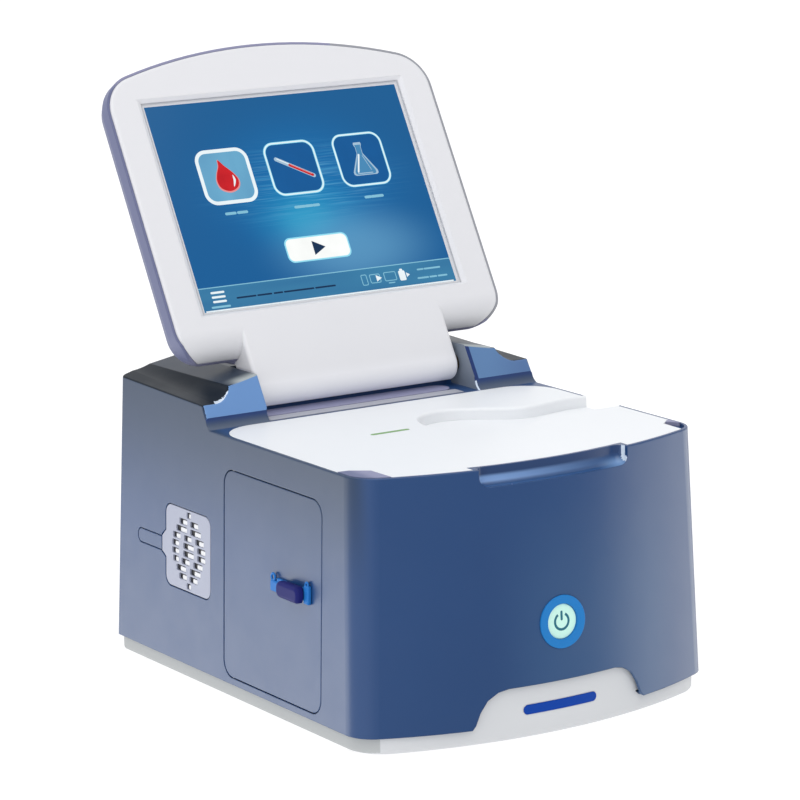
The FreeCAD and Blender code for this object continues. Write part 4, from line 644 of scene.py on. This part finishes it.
def build_display():
    glass = Sheet("touch_glass_lit", "screen", [screen_picture(), M["dark_plastic"]], M_DISP, "display_glass")
    glass.plate(rr(0, 0, 2 * GX - 0.3, 2 * GV - 0.3, 0.8, 4), -2.65, GLASS_TOP, 0)
    glass.done(("touch_glass",))

    mats = [lit("ui_white", (236, 246, 250), 0.96), lit("ui_cyan", (150, 226, 246), 0.95), lit("ui_icon_fill", (108, 172, 206), 0.95, (94, 154, 192), (40, 14, 1)),
            lit("ui_deep", (16, 92, 156), 0.9), lit("ui_red", (210, 30, 38), 0.95, (186, 20, 32), (90, 60, 1)), lit("ui_red_dark", (172, 20, 34), 0.9),
            lit("ui_pink", (238, 150, 150), 0.9), lit("ui_bar", (60, 128, 168), 0.95, (48, 110, 156), (9, 60, 1)), lit("ui_pale", (136, 198, 222), 0.9),
            lit("ui_grey", (170, 200, 222), 0.9), lit("ui_dark", (20, 52, 88), 0.85), lit("ui_button", (250, 252, 250), 0.99), lit("ui_glass", (74, 140, 186), 0.92)]
    WH, CY, FILL, DEEP, RED, RDK, PINK, BAR, PALE, GREY, DARK, BTN, FLK = range(13)
    z = GLASS_TOP
    ic = Sheet("display_icons", "screen", mats, M_DISP, "lcd_body")
    # 1: chosen tile, with a drop
    cx, cy = -56.5, 21.0
    ic.plate(rr(cx, cy, 43.6, 42.5, 9.5), z, z + 0.08, WH)
    ic.plate(rr(cx, cy, 38.2, 37.0, 6.8), z + 0.08, z + 0.12, FILL)
    drop = [(-3.4, 12.6), (-4.4, 7.8), (-7.2, 2.2), (-8.6, -3.4), (-6.6, -9.0), (0.0, -11.6), (6.6, -9.0), (8.6, -3.4), (5.6, 2.4), (0.4, 8.0)]
    halo = [(x * 1.10, y * 1.07 - 0.4) for x, y in drop]
    ic.plate([(cx + x, cy + y) for x, y in spline(halo, 6)], z + 0.12, z + 0.16, PINK)
    ic.plate([(cx + x, cy + y) for x, y in spline(drop, 8)], z + 0.16, z + 0.22, RED)
    ic.plate([(cx + x * 0.78 - 0.4, cy + y * 0.78 + 0.6) for x, y in spline(drop, 8)], z + 0.22, z + 0.24, RED)
    ic.plate([(cx + x, cy + y) for x, y in spline([(5.0, 0.5), (6.4, -3.4), (4.6, -7.6), (3.6, -8.2), (4.6, -3.6)], 6)], z + 0.24, z + 0.27, WH)
    # 2: tile with a filled capillary
    cx, cy = 0.0, 22.0
    ic.ring(rr(cx, cy, 43.0, 42.0, 9.0), rr(cx, cy, 39.0, 38.0, 7.0), z, z + 0.10, CY)
    ic.ring(rr(cx, cy, 41.9, 40.9, 8.5), rr(cx, cy, 40.1, 39.1, 7.6), z + 0.10, z + 0.13, WH)
    ic.plate(rr(cx, cy, 38.9, 37.9, 6.9), z, z + 0.04, DEEP)
    a, b = Vector((cx - 12.6, cy + 7.8)), Vector((cx + 14.6, cy - 7.4))
    k = a.lerp(b, 0.36)
    ic.plate(wide_line(a.x, a.y, b.x, b.y, 3.1), z + 0.04, z + 0.09, GREY)
    ic.plate(wide_line(k.x, k.y, *(a.lerp(b, 0.97)), 2.1), z + 0.09, z + 0.13, RED)
    ic.plate(wide_line(k.x + 0.5, k.y + 0.5, *(a.lerp(b, 0.94) + Vector((0.25, 0.45))), 0.5), z + 0.13, z + 0.15, PINK)
    ic.plate(wide_line(a.x + 0.7, a.y + 0.2, *(a.lerp(b, 0.33) + Vector((0.3, 0.5))), 0.7), z + 0.09, z + 0.12, WH)
    # 3: tile with a conical flask
    cx, cy = 58.0, 23.0
    ic.ring(rr(cx, cy, 42.5, 42.0, 9.0), rr(cx, cy, 38.9, 38.4, 7.2), z, z + 0.10, CY)
    ic.ring(rr(cx, cy, 41.6, 41.1, 8.6), rr(cx, cy, 39.8, 39.3, 7.7), z + 0.10, z + 0.13, WH)
    ic.plate(rr(cx, cy, 38.8, 38.3, 7.1), z, z + 0.04, DEEP)
    fl = [(-3.0, 13.4), (3.0, 13.4), (3.4, 12.0), (2.5, 11.2), (2.5, 4.6), (11.0, -9.6), (11.0, -11.6), (9.6, -12.6), (-8.0, -12.6), (-9.6, -11.6),
          (-9.8, -9.6), (-2.5, 4.6), (-2.5, 11.2), (-3.4, 12.0)]
    fl = [(cx + x, cy + y) for x, y in reversed(fl)]
    fi = [(cx + (x - cx) * 0.84, cy - 0.6 + (y - cy) * 0.90) for x, y in fl]
    ic.plate(fl, z + 0.04, z + 0.08, FLK)
    ic.ring(list(reversed(fl)), list(reversed(fi)), z + 0.08, z + 0.11, GREY)
    ic.plate(wide_line(cx - 1.2, cy + 3.6, cx - 5.6, cy - 9.6, 1.3), z + 0.08, z + 0.12, WH)
    ic.plate(wide_line(cx + 1.6, cy + 2.6, cx + 5.8, cy - 8.8, 0.5), z + 0.08, z + 0.12, GREY)
    ic.plate(wide_line(cx - 6.2, cy - 11.0, cx + 6.2, cy - 11.0, 0.7), z + 0.08, z + 0.12, GREY)
    ic.plate(wide_line(cx - 2.6, cy + 12.6, cx + 2.6, cy + 12.6, 1.1), z + 0.11, z + 0.13, GREY)
    # plain caption marks, no lettering
    for cx, cy, parts in ((-56.0, -7.4, (-9.6, -2.4, 0.2, 7.2)), (1.2, -8.2, (-9.6, -2.0, -0.6, 4.2, 5.6, 9.8)), (59.6, -6.6, (-7.8, -3.6, -2.2, 6.6))):
        for q in range(0, len(parts), 2):
            ic.plate(wide_line(cx + parts[q], cy, cx + parts[q + 1], cy, 2.1), z, z + 0.08, PALE)
    # start key with a plain play mark
    ic.plate(rr(-0.3, -40.5, 53.2, 19.2, 5.2), z, z + 0.06, CY)
    ic.plate(rr(-0.3, -40.5, 51.0, 17.0, 4.4), z + 0.06, z + 0.14, BTN)
    ic.plate([(-4.2, -46.0), (6.0, -40.5), (-4.2, -35.0)], z + 0.14, z + 0.17, DARK)
    # lower bar, its lines, the menu mark and small status marks
    ic.plate([(-GX + 0.6, -GV + 4.6), (GX - 0.6, -GV + 4.6), (GX - 0.6, -60.6), (-GX + 0.6, -60.6)], z, z + 0.04, BAR)
    ic.plate([(-GX + 0.6, -61.2), (GX - 0.6, -61.2), (GX - 0.6, -60.5), (-GX + 0.6, -60.5)], z + 0.04, z + 0.09, PALE)
    ic.plate([(-104.6, -78.7), (103.5, -78.7), (103.5, -77.7), (-104.6, -77.7)], z, z + 0.09, WH)
    for q in range(3):
        ic.plate(wide_line(-96.2, -64.8 - q * 3.4, -86.6, -64.8 - q * 3.4, 1.6), z + 0.04, z + 0.10, WH)
    ic.plate(wide_line(-98.6, -75.6, -84.6, -75.6, 1.5), z + 0.04, z + 0.08, PALE)
    for x0, x1 in ((-77.0, -62.0), (-60.0, -49.0), (-46.5, -40.0), (-38.0, -14.0), (-12.0, 4.0)):
        ic.plate(wide_line(x0, -70.6, x1, -70.6, 1.3), z + 0.04, z + 0.07, DARK)
    x = 29.5
    ic.ring(rr(x, -69.5, 5.0, 8.4, 1.2, 4), rr(x, -69.5, 3.8, 7.2, 0.7, 4), z + 0.04, z + 0.10, PALE)
    x = 38.6
    ic.ring(rr(x, -69.3, 9.0, 7.0, 1.2, 4), rr(x, -69.3, 7.8, 5.8, 0.7, 4), z + 0.04, z + 0.10, PALE)
    ic.plate([(x + 1.0, -71.8), (x + 5.6, -69.3), (x + 1.0, -66.8)], z + 0.10, z + 0.13, WH)
    x = 51.5
    ic.ring(rr(x, -69.0, 10.4, 7.0, 1.2, 4), rr(x, -69.0, 9.2, 5.8, 0.7, 4), z + 0.04, z + 0.10, PALE)
    ic.plate(wide_line(x - 2.4, -74.0, x + 2.4, -74.0, 0.8), z + 0.04, z + 0.10, PALE)
    x = 61.8
    ic.plate(rr(x, -69.6, 5.4, 7.6, 1.0, 4), z + 0.04, z + 0.10, WH)
    ic.plate(rr(x, -65.2, 2.4, 1.8, 0.5, 4), z + 0.04, z + 0.10, WH)
    ic.plate([(x + 3.6, -71.2), (x + 6.6, -69.4), (x + 3.6, -67.6)], z + 0.04, z + 0.10, WH)
    for x0, x1, y in ((76.0, 80.4, -66.6), (82.0, 95.0, -66.6), (74.4, 83.0, -73.2), (84.8, 90.0, -73.2), (92.0, 99.0, -73.2)):
        ic.plate(wide_line(x0, y, x1, y, 1.3), z + 0.04, z + 0.09, PALE)
    ic.done()

    # the light gasket that frames the lit area inside the bezel's window
    gk = Sheet("display_gasket", "screen", [plastic("gasket_grey", lin(214, 215, 219), rough=0.5, grain=0.1, bevel=0.0, spec=0.2)], M_DISP, "bezel_white")
    x0, x1, v0, v1 = -105.9, 105.6, -78.8, 79.1
    gk.ring(rr(0, 0, 219.2, 167.2, 1.2, 4), rr((x0 + x1) / 2, (v0 + v1) / 2, x1 - x0, v1 - v0, 0.4, 4), z, z + 0.15, 0)
    # its outer part rises to the underside of the bezel, so no gap shows round the window
    gk.ring(rr(0, 0, 219.2, 167.2, 1.2, 4), rr(0, 0.25, 215.4, 161.5, 0.8, 4), z, 0.56, 0)
    gk.done()


build_display()


# ---------------------------------------------------------------- small pieces on the left wall and the button
M_SIDE = Matrix((SW, Vector((0, 1, 0)), ST)).transposed().to_4x4()
M_SIDE.translation = (Vector((-W_LO, 0, Z_LO)) + SHIFT) / 1000.0
FAN_W, FAN_U = (93.8 - Z_LO) / math.cos(AL), 62.2
ROWS = [(-25.3, [(-2.4, 2.4)]), (-19.7, [(-12.8, -3.2), (1.6, 11.6)]), (-14.1, [(-16.6, -4.6), (2.2, 15.8)]),
        (-8.5, [(-21.4, -14.6), (-9.6, 0.6), (6.8, 18.6)]), (-2.8, [(-22.6, -14.2), (-7.2, 6.4), (12.2, 22.4)]),
        (2.8, [(-22.6, -14.2), (-7.2, 6.4), (12.2, 22.4)]), (8.5, [(-21.4, -12.2), (-6.0, 3.2), (9.6, 20.2)]),
        (14.1, [(-16.8, -3.2), (2.6, 16.2)]), (19.7, [(-12.4, -2.6), (2.6, 12.6)]), (25.3, [(-2.4, 2.4)])]


def build_louvres():
    lv = Sheet("vent_louvres", "vent_cover", [M_TAB], M_SIDE, "vent_grey")
    for dw, spans in ROWS:
        for a, b in spans:
            u0, u1 = FAN_U - b - 0.5, FAN_U - a + 0.6
            w = (u1 - u0) * 0.64
            h = 3.2
            lv.plate(rr(FAN_W + dw - 2.1 + h / 2, u0 + w / 2, h, w, 0.9, 4), -1.38, -0.75, 0)
    lv.done()
    # painted shadow: a thin dark sheet behind the louvres stands for the shade inside the vent's slots
    slot_shadow = Sheet("vent_painted_shadow", "vent_cover", [M["dark_plastic"]], M_SIDE, "dark_plastic")
    slot_shadow.plate(rr(FAN_W, FAN_U, 55.4, 52.8, 4.0, 4), -1.444, -1.405, 0)
    slot_shadow.done()


build_louvres()


def build_symbol():
    """power mark on the button's face: an open ring and a stroke, in the button's own plane"""
    o = nodes["power_symbol"]
    co_ = [o.matrix_world @ v.co for v in o.data.vertices]
    mid = sum(co_, Vector()) / len(co_)
    lo = [min(c[i] for c in co_) for i in range(3)]
    hi = [max(c[i] for c in co_) for i in range(3)]
    nrm = Vector((0, -0.99834, 0.05754))
    upv = Vector((0, 0.05754, 0.99834))
    face = max(co_, key=lambda c: c.dot(nrm))
    cx, cz = (lo[0] + hi[0]) / 2, lo[2] + (hi[0] - lo[0]) / 2
    org = Vector((cx, (face.dot(nrm) - cz * nrm.z) / nrm.y, cz))
    m = Matrix((Vector((1, 0, 0)), upv, nrm)).transposed().to_4x4()
    m.translation = org
    sy = Sheet("power_mark", "power_button", [M["symbol_teal"]], m, "symbol_teal")
    n = 40
    a0 = math.radians(90 + 32)
    a1 = math.radians(90 + 328)
    outer = [(6.3 * math.cos(a0 + (a1 - a0) * i / n), 6.3 * math.sin(a0 + (a1 - a0) * i / n)) for i in range(n + 1)]
    inner = [(4.6 * math.cos(a1 + (a0 - a1) * i / n), 4.6 * math.sin(a1 + (a0 - a1) * i / n)) for i in range(n + 1)]
    sy.plate(outer + inner, -0.15, 0.0, 0)
    sy.plate(rr(0, 3.9, 1.7, 6.6, 0.8, 5), -0.15, 0.0, 0)
    sy.done(("power_symbol",))


build_symbol()

# ---------------------------------------------------------------- camera, as fitted to the view
az, el, roll = -0.5728, 0.2062, -0.0168
back = Vector((math.sin(az) * math.cos(el), -math.cos(az) * math.cos(el), math.sin(el)))
fwd = -back
right = fwd.cross(Vector((0, 0, 1))).normalized()
up = right.cross(fwd)
r2 = right * math.cos(roll) + up * math.sin(roll)
u2 = -right * math.sin(roll) + up * math.cos(roll)
cam = bpy.data.cameras.new("camera")
cam.sensor_fit = "HORIZONTAL"
cam.sensor_width = 36.0
cam.lens = 3653.24 * 36.0 / 800.0
cam.clip_end = 50
co = bpy.data.objects.new("camera", cam)
scene.collection.objects.link(co)
mw = Matrix(((r2.x, u2.x, -fwd.x), (r2.y, u2.y, -fwd.y), (r2.z, u2.z, -fwd.z))).to_4x4()
mw.translation = W(-1353.1, -2094.05, 715.67)
co.matrix_world = mw
scene.camera = co

# ---------------------------------------------------------------- stage and light
scene.view_settings.view_transform = "Standard"
scene.view_settings.look = "None"

me = bpy.data.meshes.new("floor")
bm = bmesh.new()
S = 14.0
vs = [bm.verts.new((x, y, -0.0002)) for x, y in ((-S, -S), (S, -S), (S, S), (-S, S))]
bm.faces.new(vs)
bm.to_mesh(me)
bm.free()
floor = bpy.data.objects.new("floor", me)
scene.collection.objects.link(floor)
fm = Mat("floor_white")
fm.set(Base_Color=(0.30, 0.30, 0.302, 1), Roughness=0.9)
fm.b.inputs["Emission Color"].default_value = (1, 1, 1, 1)
fm.b.inputs["Emission Strength"].default_value = FLOOR_GLOW
me.materials.append(fm.m)

world = bpy.data.worlds.new("world")
scene.world = world
world.use_nodes = True
wt = world.node_tree
bg = wt.nodes["Background"]
tc = wt.nodes.new("ShaderNodeTexCoord")


def toward(direction, lo, hi, a, b):
    """a..b over the angle to a direction: cosine lo gives a, cosine hi gives b"""
    d = wt.nodes.new("ShaderNodeVectorMath")
    d.operation = "DOT_PRODUCT"
    wt.links.new(tc.outputs["Generated"], d.inputs[0])
    d.inputs[1].default_value = Vector(direction).normalized()
    r = wt.nodes.new("ShaderNodeMapRange")
    r.interpolation_type = "SMOOTHSTEP"
    r.inputs["From Min"].default_value = lo
    r.inputs["From Max"].default_value = hi
    r.inputs["To Min"].default_value = a
    r.inputs["To Max"].default_value = b
    wt.links.new(d.outputs["Value"], r.inputs["Value"])
    return r.outputs[0]


def wmath(op, a, b):
    m = wt.nodes.new("ShaderNodeMath")
    m.operation = op
    for k, v in enumerate((a, b)):
        if hasattr(v, "is_output"):
            wt.links.new(v, m.inputs[k])
        else:
            m.inputs[k].default_value = v
    return m.outputs[0]


sky = toward((0.54, -0.84, 0.0), -0.1, 0.85, 1.0, FRONT_SKY)
sky = wmath("MULTIPLY", sky, toward((0, 0, 1), 0.45, 0.95, 1.0, TOP_SKY))
sky = wmath("MULTIPLY", sky, SKY)
bg.inputs[0].default_value = (0.985, 0.992, 1.0, 1)
wt.links.new(sky, bg.inputs[1])


def area(name, loc, target, size, power, color=(1, 1, 1), size_y=None):
    l = bpy.data.lights.new(name, "AREA")
    l.energy = power
    l.color = color
    l.shape = "RECTANGLE" if size_y else "SQUARE"
    l.size = size
    if size_y:
        l.size_y = size_y
    o = bpy.data.objects.new(name, l)
    scene.collection.objects.link(o)
    o.location = loc
    d = Vector(target) - Vector(loc)
    o.rotation_euler = d.to_track_quat("-Z", "Y").to_euler()
    return o


area("top_soft", (0.0, -0.3, 2.2), (0, 0, 0.15), 2.2, LT_TOP)
area("front_top", (-0.2, -2.2, 1.9), (0, 0, 0.25), 1.6, LT_FRONT)
for name, loc, size, size_y, power, tone in (("rear_left", (-1.15, 1.33, -0.60), 1.3, 0.8, LT_REAR, (1.0, 0.985, 0.90)),
                                             ("right_side", (1.62, -0.40, -0.30), 1.7, 1.0, LT_RIGHT, (1.0, 0.99, 0.93))):
    # these two only shine on the gloss of the paint, so the whites keep their own level
    area(name, loc, (0.0, -0.05, 0.10), size, power, tone, size_y=size_y).visible_diffuse = False
floor.visible_glossy = False
floor.visible_shadow = False
